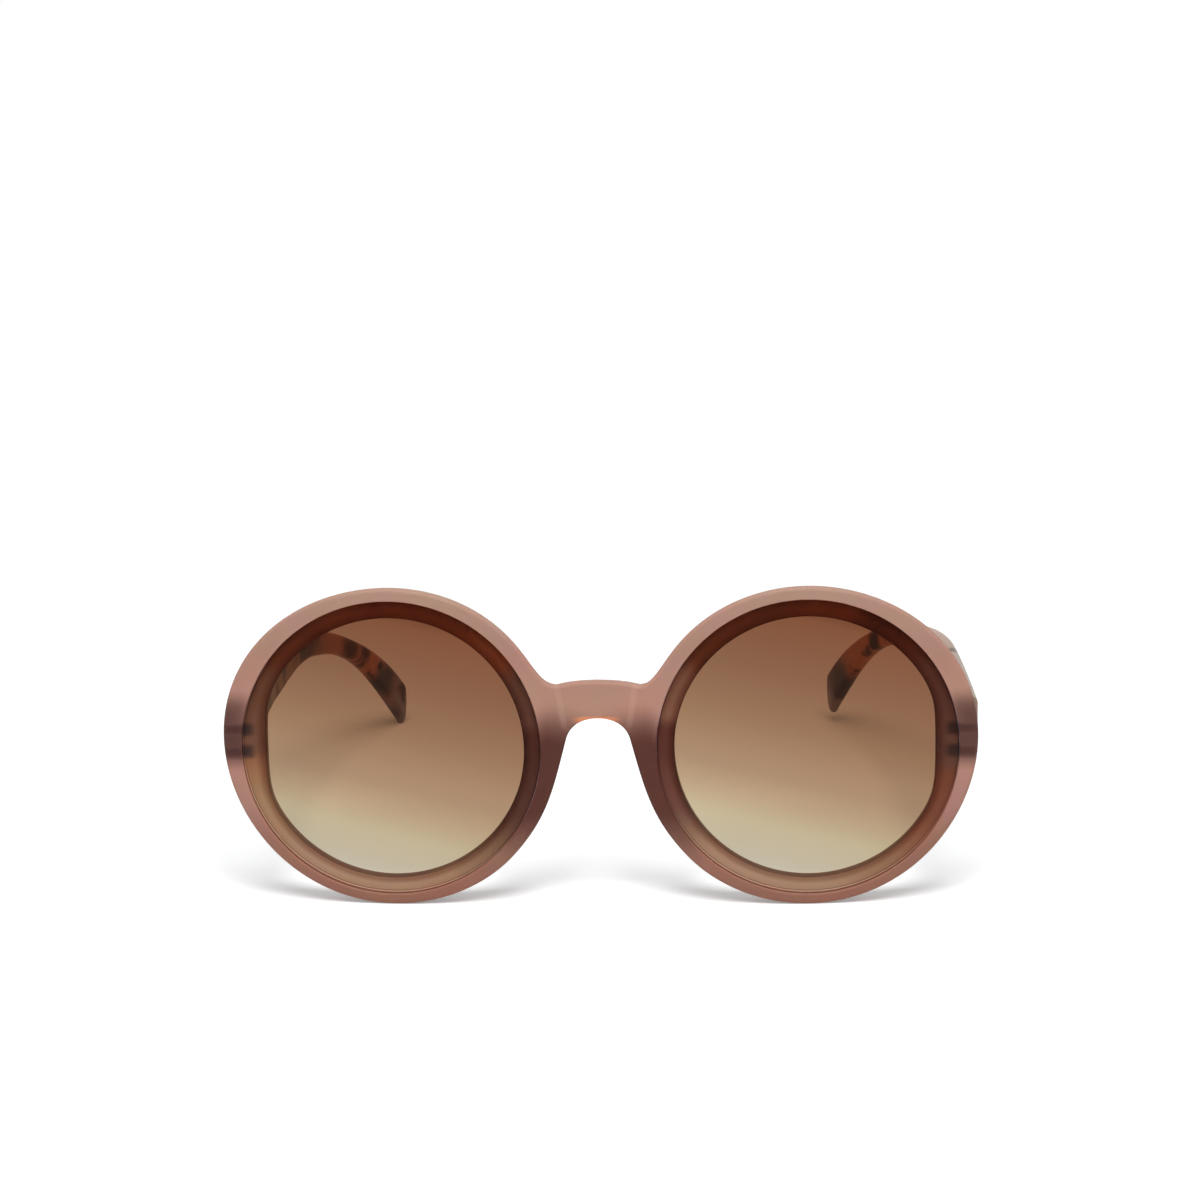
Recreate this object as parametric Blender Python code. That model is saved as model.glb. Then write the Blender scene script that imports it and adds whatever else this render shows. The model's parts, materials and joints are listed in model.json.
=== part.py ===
"""Round oversize sunglasses, built piece by piece as they come apart on a bench.

Lengths are in metres. X runs to the viewer's right, Y runs back along the temples and Z is up.
The wearer's left side is on +X. The pair stands on the two rims and on the right temple's tip.
Every piece is drawn with the front upright, and the whole pair is then leaned back until that
tip touches the floor as well.
"""
import math

import bmesh
import bpy
from mathutils import Matrix, Vector

MM = 0.001

# Front: two round rims, the bridge between them and the flange behind each lens
RIM_RADIUS = 30.9 * MM
RIM_GAP = 18.0 * MM
RIM_WIDTH = 2.1 * MM
TEMPLE_SWELL = 1.93 * MM
TEMPLE_SWELL_ANGLE = math.radians(25)
TEMPLE_SWELL_SPREAD = math.radians(44)
BROW_SWELL = 1.02 * MM
BROW_SWELL_ANGLE = math.radians(143)
BROW_SWELL_SPREAD = math.radians(46)
NOSE_SWELL = 0.53 * MM
NOSE_SWELL_ANGLE = math.radians(-139)
NOSE_SWELL_SPREAD = math.radians(30)
FLANGE_WIDTH = 3.2 * MM
FLANGE_THICKNESS = 3.2 * MM
OUTER_EDGE_RADIUS = 0.8 * MM
WALL_TAPER = 0.8 * MM
SQUARE_WALL_ANGLE = math.radians(5)
SQUARE_WALL_SPREAD = math.radians(32)
OPENING_OUTSET = 0.1 * MM
OPENING_DROP = 0.5 * MM
OPENING_FLAT_CUT = 1.3 * MM
OPENING_EDGE_RADIUS = 0.5 * MM
OPENING_CORNER_POWER = 40
POCKET_EDGE = 0.15 * MM
WRAP_ANGLE = math.radians(2.18)
BRIDGE_BLEND = 8.0 * MM

# Lenses: round discs with a V bevel round the edge
LENS_EDGE = 1.8 * MM
LENS_DOME = 0.6 * MM
LENS_BEVEL = 0.5 * MM
LENS_RECESS = 0.25 * MM
LENS_CLEARANCE = 0.1 * MM

# Bridge and nose outline: rises are over the lens middle, insets from the rim circle's inner side
BRIDGE_CROWN_RISE = 13.58 * MM
BRIDGE_NOTCH_RISE = 12.68 * MM
BRIDGE_NOTCH_INSET = 1.0 * MM
BRIDGE_CROWN_REACH = 5.3 * MM
BRIDGE_NOTCH_REACH = 0.2 * MM
NOTCH_ANGLE = math.radians(141.5)
ARCH_RISE = 6.1 * MM
ARCH_REACH = 3.1 * MM
ARCH_SIDE_INSET = 2.96 * MM
ARCH_SIDE_RISE = 2.1 * MM
ARCH_SIDE_REACH = 2.6 * MM
FLANK_ANGLE = math.radians(-138)
FLANK_LEAN = math.radians(15)
FLANK_REACH = 10.1 * MM

# Nose pads, moulded on the back of the front
PAD_OUTSET = 1.7 * MM
PAD_DROP = 5.6 * MM
PAD_HALF_THICKNESS = 2.3 * MM
PAD_HALF_HEIGHT = 9.5 * MM
PAD_PROUD = 3.6 * MM
PAD_SPLAY = math.radians(14)
PAD_LEAN = math.radians(17)

# Hinges: two knuckles on the front leaf, one on the temple leaf and a screw through all three
HINGE_INSET = 2.9 * MM
HINGE_RISE = 0.9 * MM
KNUCKLE_RADIUS = 1.25 * MM
OUTER_KNUCKLE = 2.4 * MM
MIDDLE_KNUCKLE = 1.8 * MM
KNUCKLE_GAP = 0.1 * MM
KNUCKLE_STANDOFF = 0.3 * MM
FOOT_REACH = 2.5 * MM
FOOT_DEPTH = 2.0 * MM
WEB_THICKNESS = 0.8 * MM
LEAF_CLEARANCE = 0.1 * MM
LEAF_FLUSH = 0.05 * MM
PLATE_LENGTH = 9.0 * MM
PLATE_HEIGHT = 5.0 * MM
PLATE_THICKNESS = 1.0 * MM
NOTCH_CLEARANCE = 0.25 * MM
SCREW_RADIUS = 0.6 * MM
SCREW_CLEARANCE = 0.1 * MM
SCREW_HEAD_RADIUS = 1.1 * MM
SCREW_HEAD_HEIGHT = 0.5 * MM
SCREW_HEAD_GAP = 0.05 * MM
SCREW_SLOT_WIDTH = 0.3 * MM
SCREW_SLOT_DEPTH = 0.25 * MM

# Temples: the length follows the middle line from the butt to the tip
TEMPLE_LENGTH = 139.1 * MM
TEMPLE_INSET = 0.1 * MM
TEMPLE_BUTT_RISE = 1.5 * MM
TEMPLE_BUTT_GAP = 0.25 * MM
TEMPLE_BUTT_THICKNESS = 4.5 * MM
TEMPLE_BUTT_HEIGHT = 12.1 * MM
TEMPLE_ARM_AT = 46.1 * MM
TEMPLE_ARM_THICKNESS = 3.8 * MM
TEMPLE_ARM_HEIGHT = 10.1 * MM
TEMPLE_BEND_AT = 80.0 * MM
TEMPLE_BEND_THICKNESS = 3.5 * MM
TEMPLE_BEND_HEIGHT = 5.2 * MM
TEMPLE_NECK_AT = 100.0 * MM
TEMPLE_NECK_THICKNESS = 3.3 * MM
TEMPLE_NECK_HEIGHT = 4.3 * MM
TEMPLE_PADDLE_AT = 132.9 * MM
TEMPLE_PADDLE_THICKNESS = 2.9 * MM
TEMPLE_PADDLE_HEIGHT = 7.2 * MM
TEMPLE_TIP_SLANT = 5.8 * MM
TEMPLE_TIP_ROUND = 0.85 * MM
TEMPLE_TIP_POWER = 1.44
TEMPLE_TIP_BLUNT_SHARE = 0.32
TEMPLE_TIP_BIAS_SHARE = 1.22
TEMPLE_CORNER = 1.25 * MM
EAR_BEND_START = 54.2 * MM
EAR_BEND_END = 142.9 * MM
EAR_BEND_SLOPE = math.radians(41.7)
INWARD_START = 23.6 * MM
INWARD_END = 107.8 * MM
INWARD_ANGLE = math.radians(18.2)

# How the open temples stand: both swung a little towards -X, the left one set slightly high
LEFT_SWING = math.radians(2.2)
LEFT_LIFT = math.radians(1.1)
RIGHT_SWING = math.radians(1.4)
RIGHT_LIFT = 0.0

# Core wires, pushed into the temples from the butt end
CORE_RADIUS = 0.6 * MM
CORE_CLEARANCE = 0.1 * MM
CORE_LENGTH = 112.0 * MM
CORE_SETBACK = 0.4 * MM

# One overrun serves every cut
CUT_OVERRUN = 1.0 * MM
MERGE_DISTANCE = 0.001 * MM

# Counts of segments
RIM_SEGMENTS = 60
EYE_SEGMENTS = 60
CURVE_SEGMENTS = 8
ROUND_SEGMENTS = 3
WALL_STEPS = 4
SMALL_ROUND_SEGMENTS = 12
DOME_RINGS = 3
TEMPLE_RINGS = 48
TEMPLE_SLANT_RINGS = 12
TEMPLE_CORNER_SEGMENTS = 3
CORE_SEGMENTS = 12
PATH_STEPS = 400
TILT_STEPS = 40

# Sizes that follow from the ones above
LENS_X = RIM_GAP / 2 + RIM_RADIUS
LENS_HEIGHT_ON_FRONT = RIM_RADIUS
LENS_RADIUS = RIM_RADIUS - RIM_WIDTH
OPENING_RADIUS = LENS_RADIUS - FLANGE_WIDTH
OPENING_FLAT = OPENING_RADIUS - OPENING_FLAT_CUT
POCKET_RADIUS = LENS_RADIUS + LENS_CLEARANCE
POCKET_DEPTH = LENS_RECESS + LENS_EDGE + LENS_CLEARANCE
FRONT_THICKNESS = POCKET_DEPTH + FLANGE_THICKNESS
BRIDGE_CROWN_HEIGHT = LENS_HEIGHT_ON_FRONT + BRIDGE_CROWN_RISE
BRIDGE_NOTCH_HEIGHT = LENS_HEIGHT_ON_FRONT + BRIDGE_NOTCH_RISE
BRIDGE_NOTCH_X = RIM_GAP / 2 - BRIDGE_NOTCH_INSET
ARCH_HEIGHT = LENS_HEIGHT_ON_FRONT + ARCH_RISE
ARCH_SIDE_X = RIM_GAP / 2 - ARCH_SIDE_INSET
ARCH_SIDE_HEIGHT = LENS_HEIGHT_ON_FRONT + ARCH_SIDE_RISE
PAD_X = RIM_GAP / 2 + PAD_OUTSET
PAD_HEIGHT_ON_FRONT = LENS_HEIGHT_ON_FRONT - PAD_DROP
HINGE_X = LENS_X + RIM_RADIUS - HINGE_INSET
HINGE_HEIGHT_ON_FRONT = LENS_HEIGHT_ON_FRONT + HINGE_RISE
HINGE_HALF_HEIGHT = OUTER_KNUCKLE + KNUCKLE_GAP + MIDDLE_KNUCKLE / 2
HINGE_BOTTOM = HINGE_HEIGHT_ON_FRONT - HINGE_HALF_HEIGHT
HINGE_TOP = HINGE_HEIGHT_ON_FRONT + HINGE_HALF_HEIGHT
MIDDLE_BOTTOM = HINGE_HEIGHT_ON_FRONT - MIDDLE_KNUCKLE / 2
MIDDLE_TOP = HINGE_HEIGHT_ON_FRONT + MIDDLE_KNUCKLE / 2
FOOT_INNER_X = HINGE_X - KNUCKLE_RADIUS
FOOT_OUTER_X = HINGE_X + FOOT_REACH
NOTCH_RADIUS = KNUCKLE_RADIUS + NOTCH_CLEARANCE
BORE_RADIUS = SCREW_RADIUS + SCREW_CLEARANCE
TEMPLE_INNER_X = HINGE_X - TEMPLE_INSET
TEMPLE_BUTT_HEIGHT_ON_FRONT = HINGE_HEIGHT_ON_FRONT + TEMPLE_BUTT_RISE
TEMPLE_BUTT_X = TEMPLE_INNER_X + TEMPLE_BUTT_THICKNESS / 2

SIDES = (("left", 1), ("right", -1))
STANCES = {"left": (LEFT_LIFT, LEFT_SWING), "right": (RIGHT_LIFT, RIGHT_SWING)}

TEMPLE_HEIGHTS = (
    (0.0, TEMPLE_BUTT_HEIGHT),
    (TEMPLE_ARM_AT, TEMPLE_ARM_HEIGHT),
    (TEMPLE_BEND_AT, TEMPLE_BEND_HEIGHT),
    (TEMPLE_NECK_AT, TEMPLE_NECK_HEIGHT),
    (TEMPLE_PADDLE_AT, TEMPLE_PADDLE_HEIGHT),
)
TEMPLE_WIDTHS = (
    (0.0, TEMPLE_BUTT_THICKNESS),
    (TEMPLE_ARM_AT, TEMPLE_ARM_THICKNESS),
    (TEMPLE_BEND_AT, TEMPLE_BEND_THICKNESS),
    (TEMPLE_NECK_AT, TEMPLE_NECK_THICKNESS),
    (TEMPLE_PADDLE_AT, TEMPLE_PADDLE_THICKNESS),
)

FINISHES = {
    "rose_frosted_plastic": ((0.43, 0.22, 0.17, 1.0), 0.5, 0.0),
    "brown_gradient_lens": ((0.26, 0.13, 0.07, 1.0), 0.06, 0.0),
    "tortoise_acetate": ((0.38, 0.25, 0.16, 1.0), 0.3, 0.0),
    "gunmetal": ((0.16, 0.14, 0.13, 1.0), 0.35, 1.0),
    "screw_steel": ((0.45, 0.43, 0.41, 1.0), 0.25, 1.0),
    "core_wire_steel": ((0.55, 0.54, 0.52, 1.0), 0.3, 1.0),
}


def smooth_step(value):
    """Ease from 0 to 1."""
    share = min(max(value, 0.0), 1.0)
    return share * share * (3 - 2 * share)


def wrap_back(x):
    """How far the front curves back at a distance x from the middle."""
    run = abs(x)
    slope = math.tan(WRAP_ANGLE)
    if run < BRIDGE_BLEND:
        return slope * run * run / (2 * BRIDGE_BLEND)
    return slope * (run - BRIDGE_BLEND / 2)


def hinge_y():
    """The hinge line stands just behind the rim's back."""
    return FRONT_THICKNESS + wrap_back(HINGE_X) + KNUCKLE_STANDOFF + KNUCKLE_RADIUS


# Helpers for meshes and objects


def finish_material(name):
    colour, roughness, metallic = FINISHES[name]
    material = bpy.data.materials.get(name)
    if material is None:
        material = bpy.data.materials.new(name)
        material.use_nodes = True
        shader = material.node_tree.nodes["Principled BSDF"]
        shader.inputs["Base Color"].default_value = colour
        shader.inputs["Roughness"].default_value = roughness
        shader.inputs["Metallic"].default_value = metallic
        material.diffuse_color = colour
    return material


def object_from(bm, name):
    bmesh.ops.recalc_face_normals(bm, faces=bm.faces)
    mesh = bpy.data.meshes.new(name)
    bm.to_mesh(mesh)
    bm.free()
    obj = bpy.data.objects.new(name, mesh)
    bpy.context.collection.objects.link(obj)
    return obj


def combine(target, tool, operation):
    """Apply one exact boolean to the target's mesh and drop the tool."""
    modifier = target.modifiers.new(operation.lower(), "BOOLEAN")
    modifier.operation = operation
    modifier.solver = "EXACT"
    modifier.object = tool
    bpy.context.view_layer.update()
    graph = bpy.context.evaluated_depsgraph_get()
    result = bpy.data.meshes.new_from_object(target.evaluated_get(graph))
    target.modifiers.remove(modifier)
    target.data = result
    bpy.data.objects.remove(tool)


def cut(target, tool):
    combine(target, tool, "DIFFERENCE")


def join_on(target, tool):
    combine(target, tool, "UNION")


def prism(name, outline, bottom, top):
    """A solid with the plan outline (x, y) between two heights."""
    bm = bmesh.new()
    low = [bm.verts.new((x, y, bottom)) for x, y in outline]
    high = [bm.verts.new((x, y, top)) for x, y in outline]
    bm.faces.new(low)
    bm.faces.new(high)
    bridge(bm, low, high, closed=True)
    return object_from(bm, name)


def block(name, x_range, y_range, z_range):
    outline = [
        (x_range[0], y_range[0]),
        (x_range[1], y_range[0]),
        (x_range[1], y_range[1]),
        (x_range[0], y_range[1]),
    ]
    return prism(name, outline, z_range[0], z_range[1])


def wrapped_block(name, x_range, depth_range, z_range):
    """A block that follows the front's curve, its depths measured from the front's face."""
    obj = block(name, x_range, depth_range, z_range)
    for vertex in obj.data.vertices:
        vertex.co.y += wrap_back(vertex.co.x)
    return obj


def arc(centre, radius, start, end, segments):
    """Points of an arc in plan, both ends included."""
    points = []
    for step in range(segments + 1):
        angle = start + (end - start) * step / segments
        x = centre[0] + radius * math.cos(angle)
        y = centre[1] + radius * math.sin(angle)
        points.append((x, y))
    return points


def post(name, centre, radius, bottom, top):
    """A round post along Z."""
    outline = arc(centre, radius, 0.0, 2 * math.pi, 2 * SMALL_ROUND_SEGMENTS)[:-1]
    return prism(name, outline, bottom, top)


def bridge(bm, first, second, closed):
    """Quads between two rows of vertices of the same length."""
    count = len(first)
    last = count if closed else count - 1
    for index in range(last):
        after = (index + 1) % count
        bm.faces.new((first[index], first[after], second[after], second[index]))


def finish_piece(obj, material, side=1, pivot=Vector((0.0, 0.0, 0.0)), parent=None):
    """Mirror a piece to its own side, put its origin on the pivot and give it its finish."""
    bm = bmesh.new()
    bm.from_mesh(obj.data)
    if side < 0:
        bm.transform(Matrix.Scale(-1, 4, Vector((1.0, 0.0, 0.0))))
    bm.transform(Matrix.Translation(-pivot))
    bmesh.ops.remove_doubles(bm, verts=bm.verts, dist=MERGE_DISTANCE)
    bmesh.ops.recalc_face_normals(bm, faces=bm.faces)
    bm.to_mesh(obj.data)
    bm.free()
    obj.data.materials.clear()
    obj.data.materials.append(finish_material(material))
    for polygon in obj.data.polygons:
        polygon.use_smooth = True
    obj.data.set_sharp_from_angle(angle=math.radians(32))
    obj.parent = parent


# Front frame


def bell(angle, middle, spread):
    """A smooth hump, 1 at its middle."""
    share = (angle - middle) / spread
    return math.exp(-share * share)


def rim_point(angle):
    """The rim's outline: a circle that swells towards the temple, the brow and the nose."""
    radius = RIM_RADIUS + TEMPLE_SWELL * bell(angle, TEMPLE_SWELL_ANGLE, TEMPLE_SWELL_SPREAD)
    radius += BROW_SWELL * bell(angle, BROW_SWELL_ANGLE, BROW_SWELL_SPREAD)
    radius += NOSE_SWELL * bell(angle, NOSE_SWELL_ANGLE, NOSE_SWELL_SPREAD)
    return Vector((LENS_X + radius * math.cos(angle), LENS_HEIGHT_ON_FRONT + radius * math.sin(angle)))


def rim_heading(angle):
    """Direction of travel down the outer side of the rim."""
    step = (NOTCH_ANGLE - FLANK_ANGLE) / RIM_SEGMENTS / 2
    return (rim_point(angle - step) - rim_point(angle + step)).normalized()


def curve_points(start, start_reach, end_reach, end):
    """Points of a cubic curve, without its end point."""
    points = []
    for step in range(CURVE_SEGMENTS):
        t = step / CURVE_SEGMENTS
        near = 1 - t
        point = start * near**3 + start_reach * (3 * near * near * t)
        point = point + end_reach * (3 * near * t * t) + end * t**3
        points.append(point)
    return points


def half_outline():
    """Outline of the +X half, from the top of the bridge round the rim to the nose arch."""
    crown = Vector((0.0, BRIDGE_CROWN_HEIGHT))
    notch = Vector((BRIDGE_NOTCH_X, BRIDGE_NOTCH_HEIGHT))
    level = Vector((1.0, 0.0))
    top_start = rim_point(NOTCH_ANGLE)
    crest_turn = crown + level * BRIDGE_CROWN_REACH
    points = curve_points(crown, crest_turn, notch - level * BRIDGE_NOTCH_REACH, notch)
    rise = (top_start - notch).length / 2
    notch_turn = top_start - rim_heading(NOTCH_ANGLE) * rise
    points += curve_points(notch, notch + level * (rise / 2), notch_turn, top_start)
    for step in range(RIM_SEGMENTS):
        angle = NOTCH_ANGLE + (FLANK_ANGLE - NOTCH_ANGLE) * step / RIM_SEGMENTS
        points.append(rim_point(angle))
    flank_end = rim_point(FLANK_ANGLE)
    flank_turn = flank_end + rim_heading(FLANK_ANGLE) * FLANK_REACH
    arch_side = Vector((ARCH_SIDE_X, ARCH_SIDE_HEIGHT))
    flank_up = Vector((-math.sin(FLANK_LEAN), math.cos(FLANK_LEAN)))
    points += curve_points(flank_end, flank_turn, arch_side - flank_up * FLANK_REACH, arch_side)
    arch = Vector((0.0, ARCH_HEIGHT))
    arch_turn = arch_side + flank_up * ARCH_SIDE_REACH
    points += curve_points(arch_side, arch_turn, arch + level * ARCH_REACH, arch)
    points.append(arch)
    return points


def wall_taper(point):
    """The wall leans inward towards the back, but stands square where the temple meets it."""
    angle = math.atan2(point.y - LENS_HEIGHT_ON_FRONT, point.x - LENS_X)
    return WALL_TAPER * (1 - bell(angle, SQUARE_WALL_ANGLE, SQUARE_WALL_SPREAD))


def inset_outline(points, inset, depth):
    """The half outline moved inward, its two ends kept on the middle plane."""
    moved = []
    for index, point in enumerate(points):
        before = points[max(index - 1, 0)]
        after = points[min(index + 1, len(points) - 1)]
        heading = (after - before).normalized()
        outward = Vector((-heading.y, heading.x))
        if index in (0, len(points) - 1):
            outward = Vector((0.0, 1.0 if index == 0 else -1.0))
        taper = wall_taper(point) * smooth_step(depth / FRONT_THICKNESS)
        moved.append(point - outward * (inset + taper))
    return moved


def quarter_round(radius):
    """Pairs of inset and depth round one edge, from the face to the wall."""
    pairs = []
    for step in range(ROUND_SEGMENTS + 1):
        angle = math.pi / 2 * step / ROUND_SEGMENTS
        pairs.append((radius * (1 - math.sin(angle)), radius * (1 - math.cos(angle))))
    return pairs


def opening_radius(angle):
    """A circle that its outer side cuts off straight, with soft corners."""
    across = math.cos(angle)
    if across <= 0:
        return OPENING_RADIUS
    ratio = OPENING_RADIUS * across / OPENING_FLAT
    return OPENING_RADIUS * (1 + ratio**OPENING_CORNER_POWER) ** (-1 / OPENING_CORNER_POWER)


def eye_levels():
    """Size, kind and depth of each ring round the eye, from the front face back."""
    groove_middle = LENS_RECESS + LENS_EDGE / 2
    groove_half = LENS_BEVEL + LENS_CLEARANCE
    pocket = (
        (POCKET_RADIUS + POCKET_EDGE, 0.0),
        (POCKET_RADIUS, POCKET_EDGE),
        (POCKET_RADIUS, groove_middle - groove_half),
        (POCKET_RADIUS + LENS_BEVEL, groove_middle),
        (POCKET_RADIUS, groove_middle + groove_half),
        (POCKET_RADIUS, POCKET_DEPTH),
    )
    levels = []
    for radius, depth in pocket:
        levels.append((radius, False, depth))
    edge = quarter_round(OPENING_EDGE_RADIUS)
    for inset, depth in edge:
        levels.append((inset, True, POCKET_DEPTH + depth))
    for inset, depth in reversed(edge):
        levels.append((inset, True, FRONT_THICKNESS - depth))
    return levels


def eye_ring(bm, size, is_opening, depth):
    """A ring of the lens pocket, or of the opening in the flange behind it."""
    centre_x = LENS_X + OPENING_OUTSET if is_opening else LENS_X
    centre_z = LENS_HEIGHT_ON_FRONT - OPENING_DROP if is_opening else LENS_HEIGHT_ON_FRONT
    ring = []
    for step in range(EYE_SEGMENTS):
        angle = 2 * math.pi * step / EYE_SEGMENTS
        radius = opening_radius(angle) + size if is_opening else size
        x = centre_x + radius * math.cos(angle)
        z = centre_z + radius * math.sin(angle)
        ring.append(bm.verts.new((x, depth, z)))
    return ring


def cap_half(bm, outer, eye):
    """Fill the flat face between the outline and the eye on one half."""
    bm.edges.ensure_lookup_table()
    chain = [outer[-1]]
    start = outer[-1].co
    end = outer[0].co
    for step in range(1, ROUND_SEGMENTS):
        chain.append(bm.verts.new(start.lerp(end, step / ROUND_SEGMENTS)))
    chain.append(outer[0])
    edges = [bm.edges.new((chain[index], chain[index + 1])) for index in range(len(chain) - 1)]
    edges += [bm.edges.get((outer[index], outer[index + 1])) for index in range(len(outer) - 1)]
    edges += [bm.edges.get((eye[index], eye[index - 1])) for index in range(len(eye))]
    bmesh.ops.triangle_fill(bm, use_beauty=True, edges=edges)


def flat_front():
    """The front before it is curved, standing in the plane y = 0."""
    bm = bmesh.new()
    outline = half_outline()
    edge = quarter_round(OUTER_EDGE_RADIUS)
    walls = list(edge)
    walls += [(0.0, FRONT_THICKNESS * step / WALL_STEPS) for step in range(1, WALL_STEPS)]
    walls += [(inset, FRONT_THICKNESS - depth) for inset, depth in reversed(edge)]
    rows = []
    for inset, depth in walls:
        moved = inset_outline(outline, inset, depth)
        rows.append([bm.verts.new((point.x, depth, point.y)) for point in moved])
    for index in range(len(rows) - 1):
        bridge(bm, rows[index], rows[index + 1], closed=False)
    rings = [eye_ring(bm, *level) for level in eye_levels()]
    for index in range(len(rings) - 1):
        bridge(bm, rings[index], rings[index + 1], closed=True)
    cap_half(bm, rows[0], rings[0])
    cap_half(bm, rows[-1], rings[-1])
    geometry = bm.verts[:] + bm.edges[:] + bm.faces[:]
    bmesh.ops.mirror(bm, geom=geometry, axis="X", merge_dist=MERGE_DISTANCE)
    return object_from(bm, "front_frame")


def nose_pad(side):
    """An oval lobe, half sunk into the back of the front."""
    bm = bmesh.new()
    around = 2 * SMALL_ROUND_SEGMENTS
    bmesh.ops.create_uvsphere(bm, u_segments=around, v_segments=SMALL_ROUND_SEGMENTS, radius=1.0)
    ahead = FLANGE_THICKNESS / 4
    behind = PAD_PROUD + FLANGE_THICKNESS / 2
    middle = FRONT_THICKNESS - FLANGE_THICKNESS / 2
    bm.transform(Matrix.Diagonal((PAD_HALF_THICKNESS, 1.0, PAD_HALF_HEIGHT, 1.0)))
    for vertex in bm.verts:
        vertex.co.y *= ahead if vertex.co.y < 0 else behind
    bm.transform(Matrix.Rotation(-PAD_LEAN, 4, "Y") @ Matrix.Rotation(-PAD_SPLAY, 4, "Z"))
    bm.transform(Matrix.Translation((PAD_X, middle, PAD_HEIGHT_ON_FRONT)))
    if side < 0:
        bm.transform(Matrix.Scale(-1, 4, Vector((1.0, 0.0, 0.0))))
    return object_from(bm, "nose_pad")


def leaf_pockets(side):
    """Tools that sink the front leaf into the back of the rim: a shallow bed and two deep feet."""
    inner = FOOT_INNER_X - LEAF_CLEARANCE
    outer = FOOT_OUTER_X + LEAF_CLEARANCE
    x_range = sorted((side * inner, side * outer))
    back = FRONT_THICKNESS + CUT_OVERRUN
    bottom = HINGE_BOTTOM - LEAF_CLEARANCE
    top = HINGE_TOP + LEAF_CLEARANCE
    shallow = FRONT_THICKNESS - WEB_THICKNESS - LEAF_CLEARANCE
    deep = FRONT_THICKNESS - FOOT_DEPTH - LEAF_CLEARANCE
    low_foot = HINGE_BOTTOM + OUTER_KNUCKLE + LEAF_CLEARANCE
    high_foot = HINGE_TOP - OUTER_KNUCKLE - LEAF_CLEARANCE
    yield block("bed", x_range, (shallow, back), (bottom, top))
    yield block("low_foot", x_range, (deep, back), (bottom, low_foot))
    yield block("high_foot", x_range, (deep, back), (high_foot, top))


def build_front(stand):
    front = flat_front()
    for _, side in SIDES:
        join_on(front, nose_pad(side))
        for pocket in leaf_pockets(side):
            cut(front, pocket)
    for vertex in front.data.vertices:
        vertex.co.y += wrap_back(vertex.co.x)
    finish_piece(front, "rose_frosted_plastic", parent=stand)
    return front


# Lenses


def lens_profile():
    """Radius and depth from the middle of the front, round the bevel, to the middle of the back."""
    points = []
    for step in range(DOME_RINGS + 1):
        share = step / DOME_RINGS
        points.append((LENS_RADIUS * share, LENS_RECESS - LENS_DOME * (1 - share * share)))
    middle = LENS_RECESS + LENS_EDGE / 2
    points.append((LENS_RADIUS, middle - LENS_BEVEL))
    points.append((LENS_RADIUS + LENS_BEVEL, middle))
    points.append((LENS_RADIUS, middle + LENS_BEVEL))
    back = LENS_RECESS + LENS_EDGE
    for step in range(DOME_RINGS + 1):
        share = 1 - step / DOME_RINGS
        points.append((LENS_RADIUS * share, back - LENS_DOME * (1 - share * share)))
    return points


def build_lens(name, side, stand):
    bm = bmesh.new()
    profile = lens_profile()
    rings = []
    for radius, depth in profile[1:-1]:
        ring = []
        for step in range(EYE_SEGMENTS):
            angle = 2 * math.pi * step / EYE_SEGMENTS
            x = LENS_X + radius * math.cos(angle)
            z = LENS_HEIGHT_ON_FRONT + radius * math.sin(angle)
            ring.append(bm.verts.new((x, depth + wrap_back(x), z)))
        rings.append(ring)
    for index in range(len(rings) - 1):
        bridge(bm, rings[index], rings[index + 1], closed=True)
    for ring, (_, depth) in ((rings[0], profile[0]), (rings[-1], profile[-1])):
        middle = bm.verts.new((LENS_X, depth + wrap_back(LENS_X), LENS_HEIGHT_ON_FRONT))
        for index in range(EYE_SEGMENTS):
            bm.faces.new((middle, ring[index - 1], ring[index]))
    lens = object_from(bm, name)
    finish_piece(lens, "brown_gradient_lens", side=side, parent=stand)
    return lens


# Hinges


def leaf_outline(back_y):
    """Plan of the front leaf: the foot sunk in the rim and the lug that carries the knuckle."""
    deep = FRONT_THICKNESS - FOOT_DEPTH
    flush = FRONT_THICKNESS - LEAF_FLUSH
    lug_outer = HINGE_X + KNUCKLE_RADIUS
    outline = [
        (FOOT_INNER_X, deep + wrap_back(FOOT_INNER_X)),
        (FOOT_OUTER_X, deep + wrap_back(FOOT_OUTER_X)),
        (FOOT_OUTER_X, flush + wrap_back(FOOT_OUTER_X)),
        (lug_outer, flush + wrap_back(lug_outer)),
    ]
    outline += arc((HINGE_X, back_y), KNUCKLE_RADIUS, 0.0, math.pi, SMALL_ROUND_SEGMENTS)
    return outline


def build_front_leaf(name, side, stand):
    axis_y = hinge_y()
    leaf = prism(name, leaf_outline(axis_y), HINGE_BOTTOM, HINGE_TOP)
    x_range = (FOOT_INNER_X - CUT_OVERRUN, FOOT_OUTER_X + CUT_OVERRUN)
    slot = (MIDDLE_BOTTOM - KNUCKLE_GAP, MIDDLE_TOP + KNUCKLE_GAP)
    behind = (FRONT_THICKNESS, axis_y + KNUCKLE_RADIUS + CUT_OVERRUN)
    cut(leaf, wrapped_block("knuckle_slot", x_range, behind, slot))
    ahead = (FRONT_THICKNESS - FOOT_DEPTH - CUT_OVERRUN, FRONT_THICKNESS - WEB_THICKNESS)
    cut(leaf, wrapped_block("foot_slot", x_range, ahead, slot))
    bottom = HINGE_BOTTOM - CUT_OVERRUN
    top = HINGE_TOP + CUT_OVERRUN
    cut(leaf, post("bore", (HINGE_X, axis_y), BORE_RADIUS, bottom, top))
    finish_piece(leaf, "gunmetal", side=side, parent=stand)
    return leaf


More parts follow.
